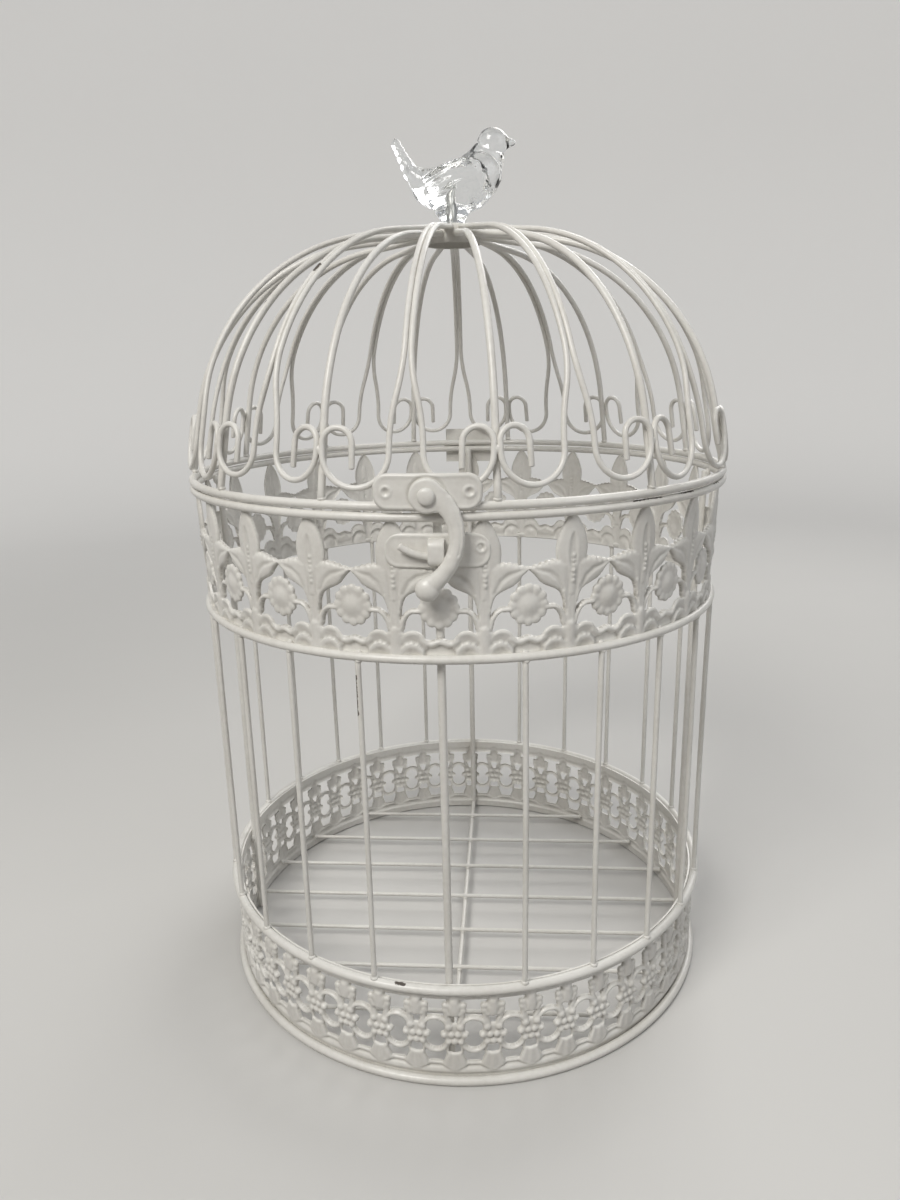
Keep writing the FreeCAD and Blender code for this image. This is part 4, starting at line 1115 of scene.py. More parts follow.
@dataclass
class LatticeStrip(Strip):
    """Pressed strip at the foot: bell feet, beaded rosettes, oval links and hanging blossoms."""

    name: str = "lattice"
    low_radius: float = 121.1
    high_radius: float = 121.1
    low: float = 0.85
    high: float = 49.2
    repeats: int = 46
    turn: float = 0.94
    cell: float = 0.46
    row: float = 23.8
    hem: float = 9.4
    ledge: float = 5.4
    top: float = 41.0

    def pattern(self, press: Press) -> None:
        """Press one repeat, a rosette in its middle."""
        half = self.half()
        press.across = np.abs(press.across)
        press.form(self.hem - press.up, 0.0)
        press.form(press.up - self.top, 0.0)
        press.border(self.ledge, 1.7, 1.15, half)
        press.border(self.hem - 0.7, 0.8, 0.45, half)
        press.border(self.top + 1.6, 1.2, 0.45, half)
        self.link(press, half)
        self.blossom(press)
        self.bell(press)
        press.cut(self.heart(press))
        press.cut(self.moon(press))
        self.rosette(press)

    def link(self, press: Press, half: float) -> None:
        """Oval link with a waist, between two rosettes."""
        lobes = np.minimum(
            press.away(half, self.row + 3.1), press.away(half, self.row - 3.1)) - 4.2
        waist = np.maximum(np.abs(press.across - half) - 2.9, np.abs(press.up - self.row) - 3.1)
        edge = np.minimum(lobes, waist)
        share = edge - 1.05
        press.form(1.1 - np.abs(share), 0.3 + half_round(share))

    def blossom(self, press: Press) -> None:
        """Blossom that hangs from the upper border, and its arms down to the links."""
        press.ridge(((3.5, 34.6, 1.2), (3.0, 31.8, 1.35), (2.5, 29.6, 1.3)), 0.9)
        press.ridge(((0, 42.4, 2.5), (0, 39.4, 2.5)), 0.85)
        press.lump(3.9, 38.2, 1.5, 1.05, 0.45)
        press.lump(3.6, 36.0, 1.7, 1.15, 0.5)
        press.lump(2.2, 34.7, 1.7, 1.25, 0.5)
        press.ridge(((0, 40.0, 2.3), (0, 37.6, 3.5), (0, 35.8, 3.0), (0, 35.0, 2.4)), 1.7)
        press.groove(((1.9, 40.4, 0.5), (2.4, 37.6, 0.6), (2.2, 35.0, 0.5)), 0.3)

    def bell(self, press: Press) -> None:
        """Bell foot on the ledge, held to the links by two short arms."""
        press.ridge(((3.5, 18.6, 1.05), (3.15, 16.6, 0.95), (2.7, 14.4, 0.95)), 1.0)
        rows = ((6.4, 2.4), (7.0, 3.7), (7.8, 4.6), (8.8, 5.0), (10.0, 4.8), (12.0, 4.1),
                (13.6, 3.4), (14.9, 3.15))
        width = edge_through(press.up, rows)
        depth = np.minimum(
            (width - press.across) * 0.9, np.minimum(press.up - 6.4, 14.7 - press.up))
        fold = 0.14 * np.cos(press.across / width * 2.5 * math.pi)
        swell = 0.75 + 0.85 * half_round(press.across / width)
        press.form(depth, swell + fold * (press.up > 7.5))

    def heart(self, press: Press) -> Array:
        """Heart-shaped opening over the rosette."""
        taper = (press.up - 28.7) * 0.62 - press.across
        lid = 33.2 - press.up - 0.1 * press.across ** 2
        return np.minimum(np.minimum(taper * 0.85, lid), 2.45 - press.across)

    def moon(self, press: Press) -> Array:
        """Half moon opening between rosette and bell."""
        lid = 18.1 - press.up - 0.14 * press.across ** 2
        return np.minimum(np.minimum(2.75 - press.across, press.up - 14.95), lid)

    def rosette(self, press: Press) -> None:
        """Beads in three rows over the waist of the links."""
        row = self.row
        core = 1 - np.hypot(press.across / 4.7, (press.up - row) / 5.4)
        press.form(core * 3.6, 0.75)
        for across, up, radius in (
                (1.4, 0.2, 1.6), (4.55, 0.0, 1.55), (2.7, 4.0, 1.75), (2.75, -3.5, 1.5),
                (0.0, -3.2, 1.6)):
            press.lump(across, row + up, radius, 1.9, 0.65)


@dataclass
class GalleryStrip(Strip):
    """Pressed strip under the rim: tall leaves, arches of side leaves, flowers and fans."""

    name: str = "gallery"
    low_radius: float = 121.35
    high_radius: float = 123.6
    low: float = 193.7
    high: float = 248.15
    repeats: int = 23
    turn: float = 7.826
    cell: float = 0.56
    flower: float = 20.9
    flower_wide: float = 7.7
    flower_tall: float = 8.2
    scallops: int = 12
    lens: float = 40.4
    lens_half: float = 7.4
    dots: int = 6

    def pattern(self, press: Press) -> None:
        """Press one repeat, a tall leaf in its middle."""
        half = self.half()
        side = np.sign(press.across)
        press.across = np.abs(press.across)
        self.fans(press, half)
        self.side_leaf(press, half)
        self.leaf(press, side)
        self.arm(press, half)
        self.rosette(press, half)

    def fans(self, press: Press, half: float) -> None:
        """Border with two fans beside each stem and a wave between them."""
        press.form(7.4 - press.up, 0.0)
        press.border(1.5, 1.5, 0.4, half)
        press.ridge(
            ((10.0, 8.2, 1.3), (11.8, 6.9, 1.25), (13.6, 6.6, 1.35), (15.2, 7.3, 1.3),
             (half + 0.5, 7.9, 1.25)), 1.3)
        for across, up, radius, rise in ((6.6, 7.2, 4.8, 0.95), (6.2, 2.6, 4.0, 1.3)):
            away = press.away(across, up)
            dish = np.clip((away + 0.35 * (press.up - up)) / radius, 0, 1) ** 2
            above = np.clip((press.up - up + 4.0) / 4.0, 0, 1)
            press.form(radius - away, above * (0.45 + (rise - 0.1) * dish))

    def leaf(self, press: Press, side: Array) -> None:
        """Tall leaf on its stem, with a knot at its foot, a sunk lens and a row of dots."""
        press.ridge(((0, 9.0, 2.6), (0, 18.0, 2.3), (0, 30.0, 2.6)), 1.25)
        press.groove(((0, 12.0, 0.7), (0, 27.0, 0.7)), 0.22)
        press.ridge(((0, 2.4, 3.4), (0, 6.4, 2.6), (0, 10.4, 3.0), (0, 12.0, 2.3)), 1.9)
        rows = ((25.0, 1.9), (29.0, 2.4), (32.0, 3.4), (35.0, 5.0), (38.0, 6.1), (41.0, 6.4),
                (44.0, 6.1), (47.0, 5.2), (50.0, 3.9), (52.6, 2.4), (54.4, 0.5))
        width = edge_through(press.up, rows)
        depth = np.minimum(
            (width - press.across) * 0.93, np.minimum(press.up - 25.0, 54.6 - press.up) + 0.3)
        press.form(depth, 0.6 + 0.75 * half_round(press.across / width) ** 1.5)
        along = (press.up - self.lens) / self.lens_half
        near = press.across - 1.75 * half_round(along)
        inner = np.abs(press.up - self.lens) < self.lens_half
        press.lift(inner * -0.34 * np.clip(-near / 0.8, 0, 1))
        press.lift(inner * 0.16 * hump(near - 0.4, 0.5))
        for index in range(self.dots):
            away = np.hypot(press.across * side - 0.3, press.up - 29.2 - 1.9 * index)
            press.lift(0.65 * half_round(away / 0.8))

    def side_leaf(self, press: Press, half: float) -> None:
        """Leaf that bends from the stem to the top of the arch, with a notched upper edge."""
        low = ((1.6, 14.0), (2.5, 19.5), (3.5, 23.3), (4.4, 24.9), (6.2, 26.2), (8.4, 27.2),
               (10.6, 28.2), (12.2, 29.3), (13.4, 30.8), (14.7, 32.4), (half, 34.2))
        high = ((1.6, 37.0), (6.0, 37.6), (8.5, 37.5), (10.5, 37.1), (12.5, 36.5), (14.5, 35.9),
                (half, 35.5))
        over = edge_through(press.across, high) + 0.28 * np.cos(press.across * 2.6)
        under = edge_through(press.across, low)
        depth = np.minimum((press.up - under) * 0.72, over - press.up)
        depth = np.minimum(depth, press.across - 1.0)
        share = np.clip(depth / 2.6, 0, 1)
        press.form(depth, 0.2 + 1.15 * half_round(1 - share))
        press.groove(((3.6, 26.0, 0.8), (6.0, 30.6, 1.2), (9.0, 33.0, 1.2), (14.6, 34.6, 0.7)), 0.5)

    def arm(self, press: Press, half: float) -> None:
        """Bent arm that holds the flower."""
        press.ridge((
            (2.2, 12.6, 1.2), (2.9, 15.6, 1.1), (4.4, 18.2, 1.05), (6.4, 19.5, 1.05),
            (half - self.flower_wide + 0.8, 19.6, 1.1)), 1.1)

    def rosette(self, press: Press, half: float) -> None:
        """Flower with a broad dome and a scalloped edge."""
        across = (press.across - half) / self.flower_wide
        up = (press.up - self.flower) / self.flower_tall
        away = np.hypot(across, up)
        turn = np.arctan2(across, up)
        wave = np.abs(np.cos(turn * self.scallops / 2))
        edge = 0.88 + 0.13 * wave ** 0.6
        petal = hump(away - 0.8, 0.2) * wave ** 0.6
        boss = np.cos(np.clip(away / 0.62, 0, 1) * math.pi / 2) ** 1.4
        press.form((edge - away) * self.flower_wide, 0.55 + 0.38 * petal + 1.05 * boss)


@dataclass
class CageWires:
    """Main posts, thin uprights and the floor of the cage."""

    rings: Rings
    post_wire: float = 3.3
    post_low: float = 118.2
    post_high: float = 120.45
    post_foot: float = 0.15
    bend_low: float = 190.0
    bend_high: float = 199.5
    upright_wire: float = 2.4
    per_quarter: int = 5
    floor_wire: float = 2.2
    spine_wire: float = 2.4
    floor_height: float = 7.5
    floor_pitch: float = 30.3
    floor_shift: float = 3.5
    floor_reach: float = 119.9

    def posts(self) -> None:
        """Four posts that lean out above the middle ring, with a weld at each ring."""
        rings = self.rings
        for azimuth, side in ((0, "front"), (90, "right"), (180, "back"), (270, "left")):
            path = WirePath((0, -self.post_low, self.post_foot))
            path.line((0, -self.post_low, self.bend_low))
            path.arc(
                (0, -self.post_low - 0.12, rings.mid_height),
                (0, -self.post_low - 0.5, self.bend_high))
            path.line((0, -self.post_high, rings.rim_height))
            shape = path.rod(self.post_wire)
            slope = (self.post_high - self.post_low) / (rings.rim_height - rings.mid_height)
            for height in (rings.second_height - 3.0, rings.mid_height + 2.5, rings.rim_height - 1.5):
                lean = max(0.0, height - rings.mid_height) * slope
                shape.weld((0.3, -self.post_low - lean - 1.2, height), (2.1, 1.5, 2.3))
            turned = Shape().merge(shape, azimuth)
            turned.piece(f"main_post_{side}_wire", Body.CAGE, PAINT, [f"main_post_{side}"])

    def uprights(self) -> None:
        """Thin uprights between the second ring and the middle ring, with weld nubs."""
        rings = self.rings
        low = rings.second_height + 1.2
        high = rings.mid_height - 0.9
        step = 90 / (self.per_quarter + 1)
        for quarter, side in enumerate(("front_right", "back_right", "back_left", "front_left")):
            shape = Shape()
            for index in range(1, self.per_quarter + 1):
                sway = 0.25 * math.sin(2.1 * index + quarter)
                path = WirePath((0, -rings.radius, low), 4.0)
                path.arc((sway, -rings.radius - sway, (low + high) / 2), (0, -rings.radius, high))
                rod = path.rod(self.upright_wire, sides=10)
                for across, deep, height, radii in (
                        (0, 0, low + 0.9, (1.75, 1.75, 1.3)),
                        (0.2, 0.2, high - 0.7, (1.7, 1.7, 1.2)),
                        (0.1, 0.8, rings.mid_height + 1.75, (1.3, 0.9, 0.7))):
                    rod.weld((across, -rings.radius + deep, height), radii)
                shape.merge(rod, quarter * 90 + index * step)
            shape.piece(f"uprights_{side}_wires", Body.CAGE, PAINT, [f"uprights_{side}"])

    def floor(self) -> None:
        """Cross wires and the spine under them, welded where they cross."""
        for index, step in enumerate(range(-3, 4), start=1):
            along = self.floor_shift + step * self.floor_pitch
            half = math.sqrt(self.floor_reach ** 2 - (abs(along) + self.floor_wire / 2) ** 2)
            path = WirePath((-half, along, self.floor_height), 6.0)
            path.arc((0, along + 0.3 * math.sin(2.3 * step), self.floor_height - 0.1),
                     (half, along, self.floor_height))
            shape = path.rod(self.floor_wire, sides=10)
            shape.weld((0, along, self.floor_height - 0.9), (1.5, 1.6, 0.8))
            for side in (-1, 1):
                shape.weld((side * (half - 0.8), along, self.floor_height), (1.2, 1.5, 1.4))
            shape.piece(f"floor_cross_wire_{index}", Body.CAGE, PAINT, [f"floor_wire_{index}"])
        height = self.floor_height - (self.floor_wire + self.spine_wire) / 2 + 0.1
        reach = self.post_low - self.post_wire / 2 - 0.1
        path = WirePath((0, -reach, height), 6.0).line((0, reach, height))
        spine = path.rod(self.spine_wire, sides=10)
        spine.piece("floor_spine_wire", Body.CAGE, PAINT, ["floor_spine"])

    def build(self) -> None:
        """Make all wires of the cage."""
        self.posts()
        self.uprights()
        self.floor()


# The lid


@dataclass
class DomeLine:
    """Outline of the dome in a meridian: straight roof run, bend, straight foot run."""

    crown: tuple[float, float]
    foot: tuple[float, float]
    roof_tilt: float
    foot_tilt: float
    radius: float
    leave: Array = field(init=False)
    join: Array = field(init=False)
    centre: Array = field(init=False)
    down: Array = field(init=False)

    def __post_init__(self) -> None:
        """Find where the bend starts and ends."""
        first = math.radians(-self.roof_tilt)
        last = math.radians(self.foot_tilt - 90)
        out = np.array([math.cos(first), math.sin(first)])
        self.down = np.array([math.cos(last), math.sin(last)])
        crown, foot = np.array(self.crown), np.array(self.foot)
        shares = np.linalg.solve(np.stack([out, self.down], 1), foot - crown)
        corner = crown + out * shares[0]
        reach = self.radius * math.tan((first - last) / 2)
        self.leave = corner - out * reach
        self.join = corner + self.down * reach
        self.centre = self.leave + np.array([out[1], -out[0]]) * self.radius

    def at(self, height: float) -> tuple[Array, Array]:
        """Point of the outline at a height, and its direction downwards."""
        if height < self.join[1]:
            return self.join + self.down * (height - self.join[1]) / self.down[1], self.down
        rise = height - self.centre[1]
        reach = math.sqrt(self.radius ** 2 - rise ** 2)
        return self.centre + [reach, rise], np.array([rise, -reach]) / self.radius


@dataclass
class Dome:
    """Single ribs and pairs of scroll ribs between the lid ring and the crown."""

    rings: Rings
    rib_turns: tuple[float, ...] = (
        10.1, 39.6, 73.0, 108.5, 139.2, 168.6, 195.9, 222.7, 250.7, 282.5, 314.2, 340.2)
    rib_wire: float = 2.9
    scroll_wire: float = 2.3
    weld_gap: float = 0.1
    cap_radius: float = 13.0
    rib_tuck: float = 0.6
    dome_rise: float = 104.9
    roof_tilt: float = 7.0
    foot_tilt: float = 10.5
    shoulder_radius: float = 90.0
    split_rise: float = 57.0
    scroll_throat: float = 6.2
    scroll_rise: float = 18.7
    curl_rise: float = 3.5
    curl_radius: float = 5.6
    curl_drop: float = 9.4

    def gaps(self) -> list[tuple[float, float]]:
        """Azimuth of each single rib, and the angle from there to the next one."""
        turns = self.rib_turns
        return [(here, (after - here) % 360) for here, after in zip(turns, turns[1:] + turns[:1])]

    def layer(self) -> float:
        """How far the scroll ribs lie outside the single ribs."""
        return (self.rib_wire + self.scroll_wire) / 2 + self.weld_gap

    def line(self, rise: float) -> DomeLine:
        """Outline of the ribs that end at a height at the crown."""
        lid = self.rings.lid_height
        tilt = math.sin(math.radians(self.foot_tilt))
        foot = lid + self.rings.rim_wire / 2 + self.weld_gap + self.rib_wire * tilt / 2
        return DomeLine(
            (self.cap_radius + self.weld_gap, lid + rise), (self.rings.rim_radius, foot),
            self.roof_tilt, self.foot_tilt, self.shoulder_radius)

    def single_ribs(self) -> None:
        """Ribs that run straight from the crown to the lid ring."""
        line = self.line(self.dome_rise)
        shoulder = line.at((line.leave[1] + line.join[1]) / 2)[0]
        points = [(0, -r, z) for r, z in (line.crown, line.leave, shoulder, line.join, line.foot)]
        path = WirePath((0, -line.crown[0] + self.rib_tuck, line.crown[1]))
        path.line(points[1]).arc(points[2], points[3]).line(points[4])
        rib = path.rod(self.rib_wire)
        rib.weld(np.array(points[4]) + [0, 0.3, 0.1], (1.8, 1.7, 1.0))
        for index, azimuth in enumerate(self.rib_turns, start=1):
            name = f"single_rib_{index:02d}"
            Shape().merge(rib, azimuth).piece(f"{name}_wire", Body.LID, PAINT, [name])

    def scroll(self, side: int, half_gap: float) -> Shape:
        """One wire of a pair at the front: over the dome, out into a bow and back in a curl.

        Args:
            side: -1 or 1.
            half_gap: angle in radians from the pair to the single rib on that side.

        Returns:
            The wire, with the weld where it meets the single rib.
        """
        lid = self.rings.lid_height
        dome = self.line(self.dome_rise + self.layer())

        def spot(across: float, point: Array) -> Array:
            """Point of the outline in space, at an offset from the middle of the pair."""
            return np.array([side * across, -point[0], point[1]])

        beside = (self.scroll_wire + self.weld_gap) / 2
        split, split_down = dome.at(lid + self.split_rise)
        throat, throat_down = dome.at(lid + self.scroll_rise)
        shoulder = dome.at((split[1] + dome.leave[1]) / 2)[0]
        down = spot(0, throat_down)
        bow = spot(self.scroll_throat, throat)
        clear = throat[0] + self.layer()
        sin, cos = math.sin(half_gap), math.cos(half_gap)
        rib = np.array([side * clear * sin, -clear * cos, throat[1]])
        across = rib - np.array([side * cos, sin, 0]) * beside - bow
        across = across - down * (across @ down)
        width = np.linalg.norm(across)
        end = bow + across
        inward = -across / width
        curl = end - down * self.curl_rise
        crown = np.array([dome.crown[0] - self.rib_tuck, dome.crown[1]])
        path = WirePath(spot(beside, crown)).line(spot(beside, dome.leave))
        path.arc(spot(beside, shoulder), spot(beside, split))
        path.ease(spot(0, split_down), bow, down)
        path.arc(bow + across / 2 + down * width / 2, end).line(curl)
        path.arc(curl + (inward - down) * self.curl_radius, curl + inward * 2 * self.curl_radius)
        path.line(path.points[-1] + down * self.curl_drop)
        shape = path.rod(self.scroll_wire)
        touch = end - inward * self.scroll_wire * 0.35 + [0, 0.6, 1.0]
        return shape.weld(touch, (1.2, 1.3, 1.9))

    def scroll_ribs(self) -> None:
        """Pairs of scroll ribs, each midway between two single ribs."""
        for index, (azimuth, gap) in enumerate(self.gaps(), start=1):
            pair = Shape()
            for side in (-1, 1):
                pair.merge(self.scroll(side, math.radians(gap / 2)), azimuth + gap / 2)
            name = f"scroll_ribs_{index:02d}"
            pair.piece(f"{name}_wires", Body.LID, PAINT, [name])

    def build(self) -> None:
        """Make all ribs."""
        self.single_ribs()
        self.scroll_ribs()


@dataclass
class Crown:
    """Crown cap with its welds, the acrylic bird and its screw."""

    dome: Dome
    cap_top: float = 361.95
    cap_depth: float = 8.2
    cap_sheet: float = 0.8
    belly: float = 5.5
    foot_radius: float = 4.6
    screw_radius: float = 2.0
    screw_reach: float = 19.5
    thread_pitch: float = 1.1
    skin_cell: float = 0.55
    body_rows: tuple[tuple[float, float, float, float], ...] = (
        (-25.4, 27.6, 32.4, 2.2), (-20.7, 16.6, 25.2, 3.8), (-15.9, 6.0, 20.4, 7.4),
        (-5.7, 0.9, 19.4, 10.6), (5.3, 0.0, 21.4, 11.4), (13.8, 2.6, 26.2, 10.2),
        (19.9, 8.6, 24.4, 6.6), (22.9, 13.6, 18.2, 2.0))
    head_rows: tuple[tuple[float, float, float, float], ...] = (
        (11.9, 26.0, 30.0, 1.6), (13.9, 23.0, 33.2, 4.6), (17.5, 21.4, 34.85, 6.2),
        (21.7, 22.1, 34.3, 5.6), (24.3, 24.6, 32.2, 3.7), (25.7, 26.2, 30.8, 2.2),
        (27.6, 26.9, 30.0, 1.5), (29.3, 27.7, 29.2, 0.8))

    def cap(self) -> None:
        """Cup that takes the ends of the ribs, its skirt painted darker downwards as shade."""
        radius, deep, sheet = self.dome.cap_radius, self.cap_depth, self.cap_sheet
        profile = (
            (self.screw_radius + 0.1, -sheet), (radius - sheet - 0.6, -sheet),
            (radius - sheet, -sheet - 0.6), (radius - sheet, -deep + 0.2), (radius - 0.4, -deep),
            (radius, -deep + 0.3), (radius, -1.1), (radius - 0.35, -0.35), (radius - 1.2, 0.0),
            (self.screw_radius + 0.1, 0.0))
        shape = Shape()
        points, faces = lathe(profile, (0, 0, self.cap_top))
        # Painted shade: the cup's paint grows darker over the first 3 mm below its top and stays so
        # down the skirt
        shape.add(points, faces[:-2], np.clip((self.cap_top - points[:, 2]) / 3.0, 0, 1) * 0.55)
        for azimuth, gap in self.dome.gaps():
            for turn, drop, radii in (
                    (azimuth, 4.3, (1.7, 0.8, 1.5)), (azimuth + gap / 2, 1.6, (2.4, 0.8, 1.1))):
                weld = Shape().weld((0, -radius - 0.1, self.cap_top - drop), radii)
                shape.merge(weld, turn)
        shape.piece("crown_cup", Body.LID, PAINT, ["crown_cap"])

    @staticmethod
    def loft(rows: Sequence[Sequence[float]], floor: float, sides: int = 32) -> tuple[Array, Faces]:
        """Smooth body through oval sections.

        Args:
            rows: place along, underside, back and half width of each section.
            floor: height that underside and back count from.
            sides: points round it.

        Returns:
            Points and faces.
        """
        table = np.array(rows)
        knots = np.arange(len(rows))
        fine = np.linspace(0, len(rows) - 1, 6 * len(rows))
        slopes = np.gradient(table, axis=0)
        low = np.clip(np.floor(fine).astype(int), 0, len(rows) - 2)
        t = (fine - knots[low])[:, None]
        eased = (
            (2 * t ** 3 - 3 * t ** 2 + 1) * table[low] + (t ** 3 - 2 * t ** 2 + t) * slopes[low]
            + (-2 * t ** 3 + 3 * t ** 2) * table[low + 1] + (t ** 3 - t ** 2) * slopes[low + 1])
        turns = circle(sides)
        points = []
        for along, under, back, half in eased:
            middle, rise = (under + back) / 2 + floor, max(0.3, (back - under) / 2)
            points.append(np.stack([
                np.full(sides, along), max(0.3, half) * np.cos(turns),
                middle + rise * np.sin(turns)], -1))
        return np.concatenate(points), tube_faces(len(points), sides)

    def bird(self) -> None:
        """Moulded bird: body, head, wings and foot melted into one skin."""
        floor = self.cap_top + self.belly
        shape = Shape()
        shape.add(*self.loft(self.body_rows, floor))
        shape.add(*self.loft(self.head_rows, floor))
        foot = tuple((self.foot_radius + out, up) for out, up in (
            (0.0, 0.1), (0.4, 1.2), (1.7, 3.4), (3.4, 5.8), (3.8, 10.0)))
        shape.add(*lathe(foot, (0.3, 0, self.cap_top)))
        shape.add(*bead((10.5, 0, floor + 18.0), (7.6, 7.4, 8.0), rings=14, sides=28))
        shape.add(*bead((15.6, 0, floor + 21.4), (8.2, 6.6, 8.4), rings=14, sides=28))
        for along, up, thick in (
                (-24.7, 29.4, 2.3), (-23.3, 26.8, 2.5), (-21.9, 24.0, 2.8), (-20.3, 21.0, 3.2),
                (-18.4, 17.8, 3.8)):
            shape.add(*bead((along, 0, floor + up), (thick, thick + 0.5, thick), 12, 20))
        for side in (-1, 1):
            points, faces = bead((0, 0, 0), (12.0, 2.6, 6.4), rings=16, sides=32)
            tilt = Matrix.Rotation(math.radians(-24), 3, "Y") @ Matrix.Rotation(
                math.radians(6 * side), 3, "Z")
            points = points @ np.array(tilt).T + np.array([1.5, side * 9.2, floor + 13.8])
            shape.add(points, faces)
            for feather in range(4):
                points, faces = bead((0, 0, 0), (9.0 - 0.8 * feather, 1.5, 1.15), sides=16)
                at = (-1.0 - 1.6 * feather, side * (10.9 - 0.5 * feather), 8.6 + 2.7 * feather)
                shape.add(points @ np.array(tilt).T + np.array(at) + [0, 0, floor], faces)
            shape.add(*bead((21.4, side * 4.7, floor + 30.0), (1.0, 0.9, 1.0)))
        made = shape.link("acrylic_bird")
        skin = made.modifiers.new("skin", "REMESH")
        skin.mode = "VOXEL"
        skin.voxel_size = self.skin_cell * MM
        soft = made.modifiers.new("soft", "SMOOTH")
        soft.iterations = 5
        soft.factor = 0.5
        graph = bpy.context.evaluated_depsgraph_get()
        made.data = bpy.data.meshes.new_from_object(made.evaluated_get(graph))
        made.modifiers.clear()
        smooth(made)
        settle(made, Body.LID, ACRYLIC, ["bird"])

    def screw(self) -> None:
        """Threaded screw with a head under the cap."""
        radius, reach = self.screw_radius, self.screw_reach
        profile = [(0.2, -4.2), (3.6, -4.2), (4.2, -3.6), (4.1, -2.0), (3.4, -0.95), (radius, -0.9)]
        height = 0.2
        while height < reach - 2:
            profile += [(radius * 0.78, height), (radius, height + self.thread_pitch / 2)]
            height += self.thread_pitch
        profile += [(radius * 0.7, reach - 0.8), (0.2, reach)]
        shape = Shape().add(*lathe(profile, (0, 0, self.cap_top), sides=24))
        shape.piece("bird_screw_thread", Body.LID, STEEL, ["bird_screw"], crease=None)

    def build(self) -> None:
        """Make the crown."""
        self.cap()
        self.screw()
        self.bird()


# The latch and the hinge


@dataclass
class Latch:
    """Latch plate, rivet and hook on the lid, keeper plate and loose pin on the cage."""

    turn: float = -1.25
    plate_in: float = 127.2
    plate_sheet: float = 1.0
    plate_width: float = 39.2
    plate_height: float = 13.0
    plate_corner: float = 5.5
    plate_low: float = 251.9
    hook_back: float = 128.55
    hook_sheet: float = 2.2
    eye_radius: float = 6.2
    pivot: float = 257.2
    keeper_in: float = 123.7
    keeper_low: float = 230.1
    strap_width: float = 6.0
    strap_low: float = 231.8
    strap_high: float = 241.4
    strap_out: float = 130.15
    strap_sheet: float = 1.2
    strap_bend: float = 2.0
    strap_sides: int = 20
    pin_wire: float = 2.8
    pin_tip: tuple[float, float] = (-13.7, 239.1)
    pin_bend: tuple[float, float] = (-7.6, 235.9)
    pin_end: tuple[float, float] = (2.6, 234.95)
    plate_cell: float = 0.4
    hook_cell: float = 0.36
    hook_sides: tuple[float, float] = (-8.0, 15.0)
    hook_ends: tuple[float, float] = (216.0, 265.0)
    hook_rim: float = 0.7
    ball: tuple[float, float] = (-0.6, 223.5)
    ball_radius: float = 4.35
    ball_swell: float = 4.4
    ball_front: float = 3.1
    ball_back: float = 2.7

    def plate(
            self, bosses: Sequence[tuple[float, float]], swell: float,
            recess: float = 0.0) -> Callable[[Press], None]:
        """Pattern of a plate with rounded corners.

        Args:
            bosses: where spot welds have left dimples, from the middle and the lower edge.
            swell: how far the middle of the plate stands proud.
            recess: depth of the trough round the eye of the hook.

        Returns:
            The pattern.
        """
        half, corner = self.plate_width / 2, self.plate_corner

        def pattern(press: Press) -> None:
            """Press the plate."""
            middle = self.plate_height / 2
            dx = np.abs(press.across) - (half - corner)
            dz = np.abs(press.up - middle) - (middle - corner)
            edge = np.hypot(np.maximum(dx, 0), np.maximum(dz, 0)) + np.minimum(np.maximum(dx, dz), 0)
            rim = 0.22 * hump(corner - edge - 0.9, 0.7)
            press.form(corner - edge, 0.6 + rim + swell * hump(press.across - 1.0, 8.0, 4))
            for across, up in bosses:
                away = press.away(across, up)
                press.lift(0.4 * hump(away - 1.75, 0.6))
                press.lift(-0.55 * hump(away, 1.15))
            round_eye = press.away(0, self.pivot - self.plate_low) - self.eye_radius - 0.35
            press.lift(-recess * hump(round_eye, 0.5))

        return pattern

    def curved_plate(
            self, name: str, body: Body, node: str, inner: float, low: float, turn: float,
            pattern: Callable[[Press], None], extra: Optional[Shape] = None) -> None:
        """Plate bent to the cage.

        Args:
            name: the piece's name.
            body: what it moves with.
            node: CAD node that it stands for.
            inner: radius of its inside.
            low: height of its lower edge.
            turn: azimuth of its middle.
            pattern: its pressed form.
            extra: forms that belong to it.
        """
        half = self.plate_width / 2
        sheet = PressedSheet(
            pattern, -half, half, 0.0, self.plate_height, self.plate_cell, thick=0.95,
            soft_edge=0.45, edge_width=0.9)
        outer = inner + self.plate_sheet - 0.62
        shape = sheet.build(round_cage(outer, outer, low, low + self.plate_height, turn))
        if extra is not None:
            shape.merge(extra)
        shape.piece(name, body, PAINT, [node], crease=55.0)

    def strap(self) -> Shape:
        """Strap that bridges the keeper plate."""
        root, out = self.keeper_in + 0.4, self.strap_out - self.strap_sheet / 2
        low, high = self.strap_low + self.strap_sheet / 2, self.strap_high - self.strap_sheet / 2
        bend = self.strap_bend
        slack = bend * (1 - math.sqrt(0.5))
        path = WirePath((0, -root, low), 0.5).line((0, -out + bend, low))
        path.arc((0, -out + slack, low + slack), (0, -out, low + bend)).line((0, -out, high - bend))
        path.arc((0, -out + slack, high - slack), (0, -out + bend, high)).line((0, -root, high))
        points = np.array(path.points)
        tangents = unit_rows(np.gradient(points, axis=0))
        square = [
            (math.copysign(abs(math.cos(a)) ** 0.35, math.cos(a)) * self.strap_width / 2,
             math.copysign(abs(math.sin(a)) ** 0.6, math.sin(a)) * self.strap_sheet / 2)
            for a in circle(self.strap_sides)]
        side = np.array([1.0, 0.0, 0.0])
        rows = []
        for spot, tangent in zip(points, tangents):
            thick = np.cross(tangent, side)
            rows.append(np.array([spot + side * x + thick * z for x, z in square]))
        open_ends = tube_faces(len(rows), len(square))[:-2]
        return Shape().add(np.concatenate(rows), flipped(open_ends))

